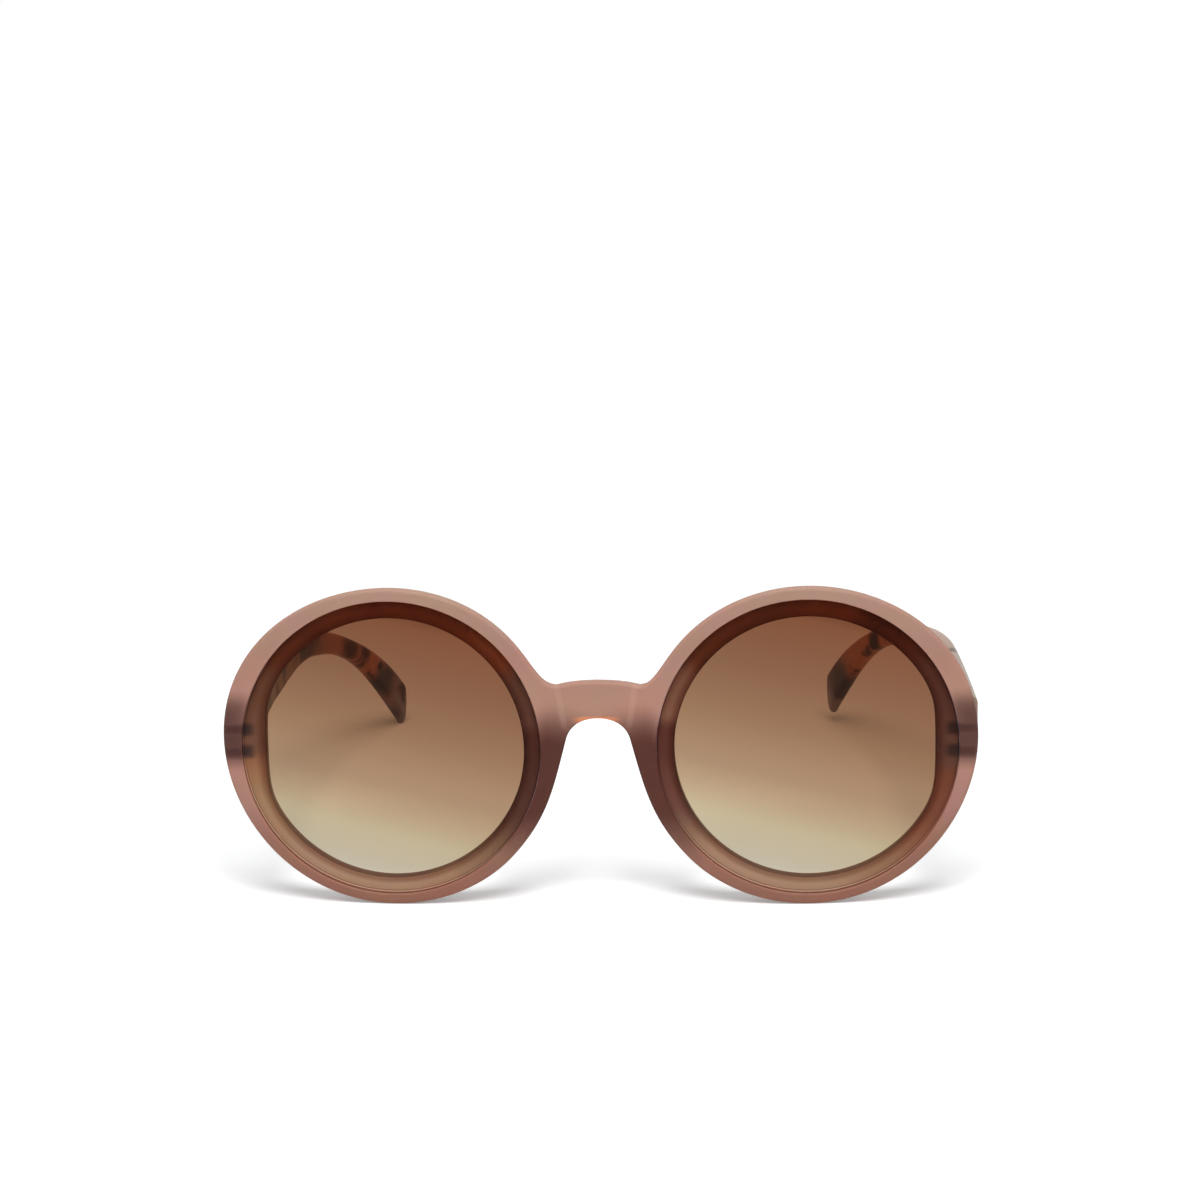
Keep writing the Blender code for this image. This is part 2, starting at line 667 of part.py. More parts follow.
def build_temple_leaf(name, side, pivot, parent):
    """A plate let into the temple's inner face, with the middle knuckle on its end."""
    axis_y = hinge_y()
    plate_start = axis_y + NOTCH_RADIUS
    plate_end = plate_start + PLATE_LENGTH
    inner = TEMPLE_INNER_X + LEAF_FLUSH
    outer = inner + PLATE_THICKNESS
    start = math.acos((inner - HINGE_X) / KNUCKLE_RADIUS)
    end = math.acos((outer - HINGE_X) / KNUCKLE_RADIUS) + 2 * math.pi
    outline = [(outer, plate_end), (inner, plate_end)]
    outline += arc((HINGE_X, axis_y), KNUCKLE_RADIUS, start, end, 2 * SMALL_ROUND_SEGMENTS)
    plate_bottom = HINGE_HEIGHT_ON_FRONT - PLATE_HEIGHT / 2
    plate_top = HINGE_HEIGHT_ON_FRONT + PLATE_HEIGHT / 2
    leaf = prism(name, outline, plate_bottom, plate_top)
    x_range = (FOOT_INNER_X - CUT_OVERRUN, FOOT_OUTER_X + CUT_OVERRUN)
    y_range = (axis_y - KNUCKLE_RADIUS - CUT_OVERRUN, plate_start)
    cut(leaf, block("over_knuckle", x_range, y_range, (MIDDLE_TOP, plate_top + CUT_OVERRUN)))
    cut(leaf, block("under_knuckle", x_range, y_range, (plate_bottom - CUT_OVERRUN, MIDDLE_BOTTOM)))
    cut(leaf, post("bore", (HINGE_X, axis_y), BORE_RADIUS, HINGE_BOTTOM, HINGE_TOP))
    finish_piece(leaf, "gunmetal", side=side, pivot=pivot, parent=parent)
    return leaf


def build_screw(name, side, stand):
    centre = (HINGE_X, hinge_y())
    head_bottom = HINGE_TOP + SCREW_HEAD_GAP
    head_top = head_bottom + SCREW_HEAD_HEIGHT
    rings = (
        (SCREW_RADIUS, HINGE_BOTTOM),
        (SCREW_RADIUS, head_bottom),
        (SCREW_HEAD_RADIUS, head_bottom),
        (SCREW_HEAD_RADIUS, head_top - SCREW_SLOT_DEPTH),
        (SCREW_HEAD_RADIUS - SCREW_SLOT_DEPTH, head_top),
    )
    bm = bmesh.new()
    rows = []
    for radius, height in rings:
        points = arc(centre, radius, 0.0, 2 * math.pi, 2 * SMALL_ROUND_SEGMENTS)[:-1]
        rows.append([bm.verts.new((x, y, height)) for x, y in points])
    for index in range(len(rows) - 1):
        bridge(bm, rows[index], rows[index + 1], closed=True)
    bm.faces.new(rows[0])
    bm.faces.new(rows[-1])
    screw = object_from(bm, name)
    reach = SCREW_HEAD_RADIUS + CUT_OVERRUN
    half_slot = SCREW_SLOT_WIDTH / 2
    x_range = (centre[0] - reach, centre[0] + reach)
    y_range = (centre[1] - half_slot, centre[1] + half_slot)
    z_range = (head_top - SCREW_SLOT_DEPTH, head_top + CUT_OVERRUN)
    cut(screw, block("slot", x_range, y_range, z_range))
    finish_piece(screw, "screw_steel", side=side, parent=stand)
    return screw


# Temples


def temple_frames():
    """Points and directions along the temple's middle line, from the butt to the tip."""
    start_y = FRONT_THICKNESS + wrap_back(TEMPLE_BUTT_X) + TEMPLE_BUTT_GAP
    position = Vector((TEMPLE_BUTT_X, start_y, TEMPLE_BUTT_HEIGHT_ON_FRONT))
    step_length = TEMPLE_LENGTH / PATH_STEPS
    frames = []
    for step in range(PATH_STEPS + 1):
        run = step * step_length
        bend = smooth_step((run - EAR_BEND_START) / (EAR_BEND_END - EAR_BEND_START))
        slope = EAR_BEND_SLOPE * bend
        turn = INWARD_ANGLE * smooth_step((run - INWARD_START) / (INWARD_END - INWARD_START))
        level = Vector((-math.sin(turn), math.cos(turn), 0.0))
        heading = level * math.cos(slope) - Vector((0.0, 0.0, math.sin(slope)))
        outward = Vector((math.cos(turn), math.sin(turn), 0.0))
        frames.append((run, position.copy(), outward, outward.cross(heading)))
        position = position + heading * step_length
    return frames


def frame_at(frames, run):
    index = min(round(run / TEMPLE_LENGTH * PATH_STEPS), PATH_STEPS)
    return frames[index]


def along_knots(run, knots):
    """Ease between the sizes given at a few places along the temple."""
    for (start, first), (end, second) in zip(knots, knots[1:]):
        if run <= end:
            return first + (second - first) * smooth_step((run - start) / (end - start))
    return knots[-1][1]


def temple_size(run):
    """Thickness and height of the temple at a place along it."""
    return along_knots(run, TEMPLE_WIDTHS), along_knots(run, TEMPLE_HEIGHTS)


def rounded_section(width, height, corner):
    """Points (across, up) of a rectangle with round corners."""
    radius = min(corner, width / 2, height / 2)
    points = []
    for quarter, (right, up) in enumerate(((1, 1), (-1, 1), (-1, -1), (1, -1))):
        centre = (right * (width / 2 - radius), up * (height / 2 - radius))
        start = math.pi / 2 * quarter
        points += arc(centre, radius, start, start + math.pi / 2, TEMPLE_CORNER_SEGMENTS)
    return points


def temple_ring(bm, frames, run, section):
    _, position, outward, up = frame_at(frames, run)
    return [bm.verts.new(position + outward * across + up * rise) for across, rise in section]


def temple_runs():
    """Places of the rings: even along the arm, closer along the slanted tip and round its end."""
    slant_start = TEMPLE_LENGTH - TEMPLE_TIP_SLANT
    round_start = TEMPLE_LENGTH - TEMPLE_TIP_ROUND
    arm_rings = TEMPLE_RINGS - TEMPLE_SLANT_RINGS - SMALL_ROUND_SEGMENTS
    runs = [slant_start * step / arm_rings for step in range(arm_rings)]
    for step in range(TEMPLE_SLANT_RINGS):
        runs.append(slant_start + (round_start - slant_start) * step / TEMPLE_SLANT_RINGS)
    for step in range(SMALL_ROUND_SEGMENTS):
        turn = math.pi / 2 * step / SMALL_ROUND_SEGMENTS
        runs.append(round_start + TEMPLE_TIP_ROUND * math.sin(turn))
    return runs


def tip_share(run, reach):
    """0 before the last reach of the temple, rising to 1 at its end."""
    return max(run - (TEMPLE_LENGTH - reach), 0.0) / reach


def temple_section(run):
    """Along the tip the section shrinks from above, and its very end is rounded."""
    width, height = temple_size(run)
    slant = 1 - (1 - TEMPLE_TIP_BLUNT_SHARE) * tip_share(run, TEMPLE_TIP_SLANT) ** TEMPLE_TIP_POWER
    narrow = math.sqrt(1 - tip_share(run, TEMPLE_TIP_ROUND) ** 2)
    droop = height * (1 - slant) / 2 * TEMPLE_TIP_BIAS_SHARE
    section = rounded_section(width * math.sqrt(slant) * narrow, height * slant * narrow, TEMPLE_CORNER)
    return [(across, rise - droop) for across, rise in section]


def core_section():
    """The bore has as many points as the temple's section, so that the butt closes with quads."""
    count = 4 * (TEMPLE_CORNER_SEGMENTS + 1)
    radius = CORE_RADIUS + CORE_CLEARANCE
    points = []
    for index in range(count):
        angle = 2 * math.pi * index / count
        points.append((radius * math.cos(angle), radius * math.sin(angle)))
    return points


def build_temple(name, side, pivot, parent):
    frames = temple_frames()
    bm = bmesh.new()
    rows = [temple_ring(bm, frames, run, temple_section(run)) for run in temple_runs()]
    for index in range(len(rows) - 1):
        bridge(bm, rows[index], rows[index + 1], closed=True)
    _, height = temple_size(TEMPLE_LENGTH)
    _, end, _, up = frames[-1]
    tip_droop = height * (1 - TEMPLE_TIP_BLUNT_SHARE) / 2 * TEMPLE_TIP_BIAS_SHARE
    tip = bm.verts.new(end - up * tip_droop)
    for index in range(len(rows[-1])):
        bm.faces.new((tip, rows[-1][index - 1], rows[-1][index]))
    bore_end = CORE_SETBACK + CORE_LENGTH + CORE_CLEARANCE
    bore_runs = [run for run in temple_runs() if run < bore_end] + [bore_end]
    bore = [temple_ring(bm, frames, run, core_section()) for run in bore_runs]
    bridge(bm, rows[0], bore[0], closed=True)
    for index in range(len(bore) - 1):
        bridge(bm, bore[index], bore[index + 1], closed=True)
    bm.faces.new(bore[-1])
    for vertex in rows[0] + bore[0]:
        vertex.co.y = FRONT_THICKNESS + wrap_back(vertex.co.x) + TEMPLE_BUTT_GAP
    temple = object_from(bm, name)
    cut(temple, knuckle_notch())
    cut(temple, plate_pocket())
    finish_piece(temple, "tortoise_acetate", side=side, pivot=pivot, parent=parent)
    return temple


def knuckle_notch():
    """The corner of the butt is cut away round the knuckles and the screw's head."""
    axis_y = hinge_y()
    front = FRONT_THICKNESS - CUT_OVERRUN
    inside = TEMPLE_INNER_X - CUT_OVERRUN
    outline = [(inside, front), (HINGE_X + NOTCH_RADIUS, front)]
    outline += arc((HINGE_X, axis_y), NOTCH_RADIUS, 0.0, math.pi / 2, SMALL_ROUND_SEGMENTS)
    outline.append((inside, axis_y + NOTCH_RADIUS))
    bottom = HINGE_BOTTOM - NOTCH_CLEARANCE
    top = HINGE_TOP + SCREW_HEAD_GAP + SCREW_HEAD_HEIGHT + NOTCH_CLEARANCE
    return prism("knuckle_notch", outline, bottom, top)


def plate_pocket():
    """A bed for the temple leaf's plate."""
    axis_y = hinge_y()
    depth = LEAF_FLUSH + PLATE_THICKNESS + LEAF_CLEARANCE
    x_range = (TEMPLE_INNER_X - CUT_OVERRUN, TEMPLE_INNER_X + depth)
    y_range = (axis_y, axis_y + NOTCH_RADIUS + PLATE_LENGTH + LEAF_CLEARANCE)
    half_height = PLATE_HEIGHT / 2 + LEAF_CLEARANCE
    z_range = (HINGE_HEIGHT_ON_FRONT - half_height, HINGE_HEIGHT_ON_FRONT + half_height)
    return block("plate_pocket", x_range, y_range, z_range)


def build_core(name, side, pivot, parent):
    frames = temple_frames()
    bm = bmesh.new()
    section = []
    for index in range(CORE_SEGMENTS):
        angle = 2 * math.pi * index / CORE_SEGMENTS
        section.append((CORE_RADIUS * math.cos(angle), CORE_RADIUS * math.sin(angle)))
    end = CORE_SETBACK + CORE_LENGTH
    runs = [CORE_SETBACK] + [run for run in temple_runs() if CORE_SETBACK < run < end] + [end]
    rows = [temple_ring(bm, frames, run, section) for run in runs]
    for index in range(len(rows) - 1):
        bridge(bm, rows[index], rows[index + 1], closed=True)
    bm.faces.new(rows[0])
    bm.faces.new(rows[-1])
    core = object_from(bm, name)
    finish_piece(core, "core_wire_steel", side=side, pivot=pivot, parent=parent)
    return core


# Assembly


def lowest(points, lean):
    """Height of the lowest point after leaning the pair back."""
    return min(point.z * math.cos(lean) - point.y * math.sin(lean) for point in points)


def stand_on_floor(stand, front, temples):
    """Lean the pair back until rims and tips share the floor, then centre it over the origin."""
    front_points = [front.matrix_world @ vertex.co for vertex in front.data.vertices]
    tip_points = []
    for temple in temples:
        tip_points += [temple.matrix_world @ vertex.co for vertex in temple.data.vertices]
    low = 0.0
    high = math.radians(20)
    for _ in range(TILT_STEPS):
        lean = (low + high) / 2
        if lowest(front_points, lean) > lowest(tip_points, lean):
            high = lean
        else:
            low = lean
    stand.rotation_euler = (-lean, 0.0, 0.0)
    bpy.context.view_layer.update()
    corners = []
    for obj in bpy.data.objects:
        if obj.type == "MESH":
            corners += [obj.matrix_world @ vertex.co for vertex in obj.data.vertices]
    xs = [corner.x for corner in corners]
    ys = [corner.y for corner in corners]
    middle_x = (min(xs) + max(xs)) / 2
    middle_y = (min(ys) + max(ys)) / 2
    stand.location = (-middle_x, -middle_y, -lowest(front_points, lean))
    bpy.context.view_layer.update()


def new_empty(name, location, parent):
    empty = bpy.data.objects.new(name, None)
    bpy.context.collection.objects.link(empty)
    empty.location = location
    empty.parent = parent
    return empty


def main():
    for obj in list(bpy.data.objects):
        bpy.data.objects.remove(obj)
    stand = new_empty("stand", (0.0, 0.0, 0.0), None)
    front = build_front(stand)
    temples = []
    for name, side in SIDES:
        pivot = Vector((side * HINGE_X, hinge_y(), HINGE_HEIGHT_ON_FRONT))
        hinge = new_empty("hinge_line_" + name, pivot, stand)
        lift, swing = STANCES[name]
        hinge.rotation_euler = (lift, 0.0, swing)
        build_lens("lens_" + name, side, stand)
        build_front_leaf("hinge_front_leaf_" + name, side, stand)
        build_screw("hinge_screw_" + name, side, stand)
        build_temple_leaf("hinge_temple_leaf_" + name, side, pivot, hinge)
        temples.append(build_temple("temple_" + name, side, pivot, hinge))
        build_core("temple_core_" + name, side, pivot, hinge)
    bpy.context.view_layer.update()
    stand_on_floor(stand, front, temples)


main()
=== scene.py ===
# %% [markdown]
# # Round sunglasses, standing open on a white table
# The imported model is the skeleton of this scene. It gives the place of every piece, the two fold
# lines and the finishes to fill. Each visible piece is then drawn again with more detail, in the
# same place, and gets a material made from nodes. Every finished mesh holds its own place, so all
# objects stay at the origin.

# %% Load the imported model
import json
import math

import bmesh
import bpy
from mathutils import Matrix, Vector


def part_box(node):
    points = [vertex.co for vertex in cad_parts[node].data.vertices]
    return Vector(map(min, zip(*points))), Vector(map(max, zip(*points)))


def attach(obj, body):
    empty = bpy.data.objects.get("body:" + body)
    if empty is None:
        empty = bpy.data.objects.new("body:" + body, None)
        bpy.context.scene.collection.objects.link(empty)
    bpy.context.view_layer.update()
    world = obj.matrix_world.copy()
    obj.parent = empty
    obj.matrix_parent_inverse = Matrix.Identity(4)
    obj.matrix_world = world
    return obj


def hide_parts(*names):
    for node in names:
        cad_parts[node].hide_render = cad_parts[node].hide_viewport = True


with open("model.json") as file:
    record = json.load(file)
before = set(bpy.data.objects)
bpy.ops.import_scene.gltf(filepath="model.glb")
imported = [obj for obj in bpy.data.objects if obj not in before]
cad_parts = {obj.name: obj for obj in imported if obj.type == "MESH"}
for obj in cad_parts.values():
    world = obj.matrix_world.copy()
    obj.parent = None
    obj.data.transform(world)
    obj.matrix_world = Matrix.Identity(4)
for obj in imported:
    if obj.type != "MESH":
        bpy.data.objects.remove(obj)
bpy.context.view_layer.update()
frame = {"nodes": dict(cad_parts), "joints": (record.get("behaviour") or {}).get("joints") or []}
MM = 0.001
SIDES = {"left": 1, "right": -1}

# %% [markdown]
# ## The sizes of the front
# The front is one moulding: two round rims, a bridge, a flange behind each lens and two nose pads.
# Every size is named once, in millimetres, and everything else is worked out from these names. The
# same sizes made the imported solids, so the finer pieces drawn here land exactly on them.

# %% Sizes of the front
RIM_RADIUS = 30.9 * MM
RIM_GAP = 18.0 * MM
RIM_WIDTH = 2.1 * MM
# How much the rim swells, about which angle, and over how wide an angle.
TEMPLE_SWELL = (1.93 * MM, math.radians(25), math.radians(44))
BROW_SWELL = (1.02 * MM, math.radians(143), math.radians(46))
NOSE_SWELL = (0.53 * MM, math.radians(-139), math.radians(30))
FLANGE_WIDTH = 3.2 * MM
FLANGE_THICKNESS = 3.2 * MM
OUTER_EDGE_RADIUS = 0.8 * MM
WALL_TAPER = 0.8 * MM
SQUARE_WALL_ANGLE = math.radians(5)
SQUARE_WALL_SPREAD = math.radians(32)
OPENING_OUTSET = 0.1 * MM
OPENING_DROP = 0.5 * MM
OPENING_FLAT_CUT = 1.3 * MM
OPENING_EDGE_RADIUS = 0.5 * MM
OPENING_CORNER_POWER = 40
POCKET_EDGE = 0.15 * MM
WRAP_ANGLE = math.radians(2.18)
BRIDGE_BLEND = 8.0 * MM
LENS_EDGE = 1.8 * MM
LENS_DOME = 0.6 * MM
LENS_BEVEL = 0.5 * MM
LENS_RECESS = 0.25 * MM
LENS_CLEARANCE = 0.1 * MM

LENS_X = RIM_GAP / 2 + RIM_RADIUS
LENS_HEIGHT = RIM_RADIUS
LENS_RADIUS = RIM_RADIUS - RIM_WIDTH
OPENING_RADIUS = LENS_RADIUS - FLANGE_WIDTH
OPENING_FLAT = OPENING_RADIUS - OPENING_FLAT_CUT
POCKET_RADIUS = LENS_RADIUS + LENS_CLEARANCE
POCKET_DEPTH = LENS_RECESS + LENS_EDGE + LENS_CLEARANCE
FRONT_THICKNESS = POCKET_DEPTH + FLANGE_THICKNESS
print("front is", round(FRONT_THICKNESS / MM, 2), "mm thick")
print("lens is", round(2 * LENS_RADIUS / MM, 1), "mm across")

# %% [markdown]
# ## From the drawing board to the table
# The pieces are drawn with the front upright, its face in the plane y = 0 and its lowest point at
# height 0. The pair on the table leans back a little, because it stands on the rims and on a temple
# tip. The fold line of a hinge is known in both places, so it gives the whole move: its tilt is the
# lean, and one point on it fixes the rest.

# %% Move from the upright drawing to the table
HINGE_INSET = 2.9 * MM
HINGE_RISE = 0.9 * MM
KNUCKLE_RADIUS = 1.25 * MM
KNUCKLE_STANDOFF = 0.3 * MM
HINGE_X = LENS_X + RIM_RADIUS - HINGE_INSET
HINGE_HEIGHT = LENS_HEIGHT + HINGE_RISE


def wrap_back(x):
    """How far the front curves back at a distance x from the middle."""
    run = abs(x)
    slope = math.tan(WRAP_ANGLE)
    if run < BRIDGE_BLEND:
        return slope * run * run / (2 * BRIDGE_BLEND)
    return slope * (run - BRIDGE_BLEND / 2)


HINGE_Y = FRONT_THICKNESS + wrap_back(HINGE_X) + KNUCKLE_STANDOFF + KNUCKLE_RADIUS
joints = {joint["name"]: joint for joint in frame["joints"]}
fold_axis = Vector(joints["fold_left"]["axis"])
lean = math.atan2(fold_axis.y, fold_axis.z)
upright_pivot = Vector((HINGE_X, HINGE_Y, HINGE_HEIGHT))
turn_back = Matrix.Rotation(-lean, 4, "X")
stand_place = Vector(joints["fold_left"]["pos_m"]) - turn_back @ upright_pivot
ON_TABLE = Matrix.Translation(stand_place) @ turn_back
print("lean", round(math.degrees(lean), 3), "degrees, stand at", [round(c / MM, 2) for c in stand_place])

# %% [markdown]
# ## Small helpers for meshes
# The front and the temples are skins between rows of points, so one helper joins two rows with
# quads. Another turns a finished bmesh into an object. Smooth shading stops at edges sharper than
# thirty degrees, which keeps flat faces flat and round ones round.

# %% Rows and arcs of points
def smooth_step(value):
    """Ease from 0 to 1."""
    share = min(max(value, 0.0), 1.0)
    return share * share * (3 - 2 * share)


def bridge(bm, first, second, closed=True):
    """Quads between two rows of vertices of the same length."""
    count = len(first)
    for index in range(count if closed else count - 1):
        after = (index + 1) % count
        bm.faces.new((first[index], first[after], second[after], second[index]))


def arc(centre, radius, start, end, segments):
    """Points of an arc, both ends included."""
    points = []
    for step in range(segments + 1):
        angle = start + (end - start) * step / segments
        points.append((centre[0] + radius * math.cos(angle), centre[1] + radius * math.sin(angle)))
    return points


print("halfway round a quarter arc:", arc((0.0, 0.0), 1.0, 0.0, math.pi / 2, 2)[1])

# %% Objects, modifiers and Booleans
SHARP_ANGLE = math.radians(30)
MERGE_DISTANCE = 0.001 * MM


def object_from(bm, name):
    """Close the drawing of one piece and put it in the scene."""
    bmesh.ops.remove_doubles(bm, verts=bm.verts, dist=MERGE_DISTANCE)
    bmesh.ops.recalc_face_normals(bm, faces=bm.faces)
    mesh = bpy.data.meshes.new(name)
    bm.to_mesh(mesh)
    bm.free()
    obj = bpy.data.objects.new(name, mesh)
    bpy.context.scene.collection.objects.link(obj)
    return obj


def outward_faces(obj):
    """Turn all faces of a closed mesh outwards."""
    bm = bmesh.new()
    bm.from_mesh(obj.data)
    bmesh.ops.recalc_face_normals(bm, faces=bm.faces)
    bm.to_mesh(obj.data)
    bm.free()


def apply_modifiers(obj):
    """Keep the mesh that the modifiers make, and take the modifiers off."""
    bpy.context.view_layer.update()
    graph = bpy.context.evaluated_depsgraph_get()
    mesh = bpy.data.meshes.new_from_object(obj.evaluated_get(graph))
    obj.modifiers.clear()
    obj.data = mesh


def combine(target, tool, operation):
    """One exact boolean, applied, with the tool removed."""
    modifier = target.modifiers.new(operation.lower(), "BOOLEAN")
    modifier.operation = operation
    modifier.solver = "EXACT"
    modifier.object = tool
    apply_modifiers(target)
    bpy.data.objects.remove(tool)


def block(x_range, y_range, z_range):
    """A plain box, used only as a cutting tool."""
    bm = bmesh.new()
    bmesh.ops.create_cube(bm, size=1.0)
    for vertex in bm.verts:
        vertex.co.x = x_range[0] if vertex.co.x < 0 else x_range[1]
        vertex.co.y = y_range[0] if vertex.co.y < 0 else y_range[1]
        vertex.co.z = z_range[0] if vertex.co.z < 0 else z_range[1]
    return object_from(bm, "cutter")


def finish_mesh(obj, matrix):
    """Put a piece in its place on the table and shade its round faces smooth."""
    obj.data.transform(matrix)
    for polygon in obj.data.polygons:
        polygon.use_smooth = True
    obj.data.set_sharp_from_angle(angle=SHARP_ANGLE)
    return len(obj.data.polygons)


print("edges count as sharp from", round(math.degrees(SHARP_ANGLE)), "degrees")

# %% [markdown]
# ## The outline of the front
# Seen from ahead the front is two circles that swell a little towards the temples and the brow, a
# bridge with a soft hump, and an arch over the nose. Circles are drawn by angle and the bridge by
# cubic curves whose ends leave along the rim, so the outline never kinks. A traced row of points
# would do too, but it would kink and could not be resized. Only the +X half is drawn. The other
# half is its mirror image.

# %% Circles and curves of the outline
CURVE_SEGMENTS = 20


def bell(angle, middle, spread):
    """A smooth hump, 1 at its middle."""
    share = (angle - middle) / spread
    return math.exp(-share * share)


def rim_point(angle):
    """The rim's outline, swollen towards the temple, the brow and the nose."""
    radius = RIM_RADIUS
    for swell, middle, spread in (TEMPLE_SWELL, BROW_SWELL, NOSE_SWELL):
        radius += swell * bell(angle, middle, spread)
    return Vector((LENS_X + radius * math.cos(angle), LENS_HEIGHT + radius * math.sin(angle)))


def rim_heading(angle):
    """Direction of travel down the outer side of the rim."""
    step = math.radians(1)
    return (rim_point(angle - step) - rim_point(angle + step)).normalized()


def curve_points(start, start_reach, end_reach, end):
    """Points of a cubic curve, without its end point."""
    points = []
    for step in range(CURVE_SEGMENTS):
        t = step / CURVE_SEGMENTS
        near = 1 - t
        point = start * near**3 + start_reach * (3 * near * near * t)
        points.append(point + end_reach * (3 * near * t * t) + end * t**3)
    return points


print("the rim reaches", round(rim_point(0.0).x / MM, 1), "mm from the middle")

# %% Half outline of the front
RIM_SEGMENTS = 150
NOTCH_ANGLE = math.radians(141.5)
FLANK_ANGLE = math.radians(-138)
FLANK_LEAN = math.radians(15)
FLANK_REACH = 10.1 * MM
CROWN = Vector((0.0, LENS_HEIGHT + 13.58 * MM))
CROWN_REACH = Vector((5.3 * MM, 0.0))
NOTCH = Vector((RIM_GAP / 2 - 1.0 * MM, LENS_HEIGHT + 12.68 * MM))
NOTCH_REACH = Vector((0.2 * MM, 0.0))
ARCH = Vector((0.0, LENS_HEIGHT + 6.1 * MM))
ARCH_REACH = Vector((3.1 * MM, 0.0))
ARCH_SIDE = Vector((RIM_GAP / 2 - 2.96 * MM, LENS_HEIGHT + 2.1 * MM))
ARCH_SIDE_REACH = 2.6 * MM


def half_outline():
    """From the top of the bridge round the rim to the nose arch."""
    top_start = rim_point(NOTCH_ANGLE)
    rise = (top_start - NOTCH).length / 2
    points = curve_points(CROWN, CROWN + CROWN_REACH, NOTCH - NOTCH_REACH, NOTCH)
    notch_turn = top_start - rim_heading(NOTCH_ANGLE) * rise
    points += curve_points(NOTCH, NOTCH + Vector((rise / 2, 0.0)), notch_turn, top_start)
    for step in range(RIM_SEGMENTS):
        points.append(rim_point(NOTCH_ANGLE + (FLANK_ANGLE - NOTCH_ANGLE) * step / RIM_SEGMENTS))
    flank_end = rim_point(FLANK_ANGLE)
    flank_turn = flank_end + rim_heading(FLANK_ANGLE) * FLANK_REACH
    flank_up = Vector((-math.sin(FLANK_LEAN), math.cos(FLANK_LEAN)))
    points += curve_points(flank_end, flank_turn, ARCH_SIDE - flank_up * FLANK_REACH, ARCH_SIDE)
    points += curve_points(ARCH_SIDE, ARCH_SIDE + flank_up * ARCH_SIDE_REACH, ARCH + ARCH_REACH, ARCH)
    points.append(ARCH)
    return points


outline = half_outline()
print("half outline has", len(outline), "points, widest at", round(max(p.x for p in outline) / MM, 1), "mm")

# %% [markdown]
# ## The moulded front
# Both rims and the bridge leave the mould as one piece. A flat shape with a Solidify and a Bevel
# modifier would be close, but the wall's lean and the lens groove need their own sizes, so the skin
# is laid between rows of points. The rim's wall is the outline repeated at several depths, pulled
# inward at both ends to round the edges. A mould has to let go of the part, so the wall leans in a
# little towards the back, except where the temple meets it. The eye is a stack of rings: the pocket
# that holds the lens, with a V groove for the lens's bevel, and then the flange with its opening,
# which is cut off straight on the temple side. The two flat faces are filled between the outline
# and the eye. An extra ring just inside each round edge keeps the flat faces looking flat.

# %% Rows of the outer wall and rings of the eye
ROUND_SEGMENTS = 6
WALL_STEPS = 6
FACE_RING = 0.2 * MM


def wall_taper(point):
    angle = math.atan2(point.y - LENS_HEIGHT, point.x - LENS_X)
    return WALL_TAPER * (1 - bell(angle, SQUARE_WALL_ANGLE, SQUARE_WALL_SPREAD))


def inset_outline(points, inset, depth):
    """The half outline moved inward, its two ends kept on the middle plane."""
    moved = []
    last = len(points) - 1
    for index, point in enumerate(points):
        heading = (points[min(index + 1, last)] - points[max(index - 1, 0)]).normalized()
        outward = Vector((-heading.y, heading.x))
        if index in (0, last):
            outward = Vector((0.0, 1.0 if index == 0 else -1.0))
        taper = wall_taper(point) * smooth_step(depth / FRONT_THICKNESS)
        moved.append(point - outward * (inset + taper))
    return moved


def quarter_round(radius):
    """Pairs of inset and depth round one edge, from the face to the wall."""
    pairs = []
    for step in range(ROUND_SEGMENTS + 1):
        angle = math.pi / 2 * step / ROUND_SEGMENTS
        pairs.append((radius * (1 - math.sin(angle)), radius * (1 - math.cos(angle))))
    return pairs


def wall_levels():
    """Inset and depth of each row of the outer wall, from the front face to the back face."""
    edge = quarter_round(OUTER_EDGE_RADIUS)
    levels = [(OUTER_EDGE_RADIUS + FACE_RING, 0.0)] + edge
    levels += [(0.0, FRONT_THICKNESS * step / WALL_STEPS) for step in range(1, WALL_STEPS)]
    levels += [(inset, FRONT_THICKNESS - depth) for inset, depth in reversed(edge)]
    levels.append((OUTER_EDGE_RADIUS + FACE_RING, FRONT_THICKNESS))
    return levels


def opening_radius(angle):
    """A circle that its outer side cuts off straight, with soft corners."""
    across = math.cos(angle)
    if across <= 0:
        return OPENING_RADIUS
    ratio = OPENING_RADIUS * across / OPENING_FLAT
    return OPENING_RADIUS * (1 + ratio**OPENING_CORNER_POWER) ** (-1 / OPENING_CORNER_POWER)


def eye_levels():
    """Size, kind and depth of each ring round the eye, from the front face back."""
    middle = LENS_RECESS + LENS_EDGE / 2
    half = LENS_BEVEL + LENS_CLEARANCE
    pocket = [
        (POCKET_RADIUS + POCKET_EDGE + FACE_RING, 0.0),
        (POCKET_RADIUS + POCKET_EDGE, 0.0),
        (POCKET_RADIUS, POCKET_EDGE),
        (POCKET_RADIUS, middle - half),
        (POCKET_RADIUS + LENS_BEVEL, middle),
        (POCKET_RADIUS, middle + half),
        (POCKET_RADIUS, POCKET_DEPTH),
    ]
    levels = [(radius, False, depth) for radius, depth in pocket]
    edge = quarter_round(OPENING_EDGE_RADIUS)
    edge.insert(0, (OPENING_EDGE_RADIUS + FACE_RING, 0.0))
    levels += [(inset, True, POCKET_DEPTH + depth) for inset, depth in edge]
    levels += [(inset, True, FRONT_THICKNESS - depth) for inset, depth in reversed(edge)]
    return levels


print("wall rows:", len(wall_levels()), "eye rings:", len(eye_levels()))

# %% Skin of the front
EYE_SEGMENTS = 160
BRIDGE_CUTS = 10


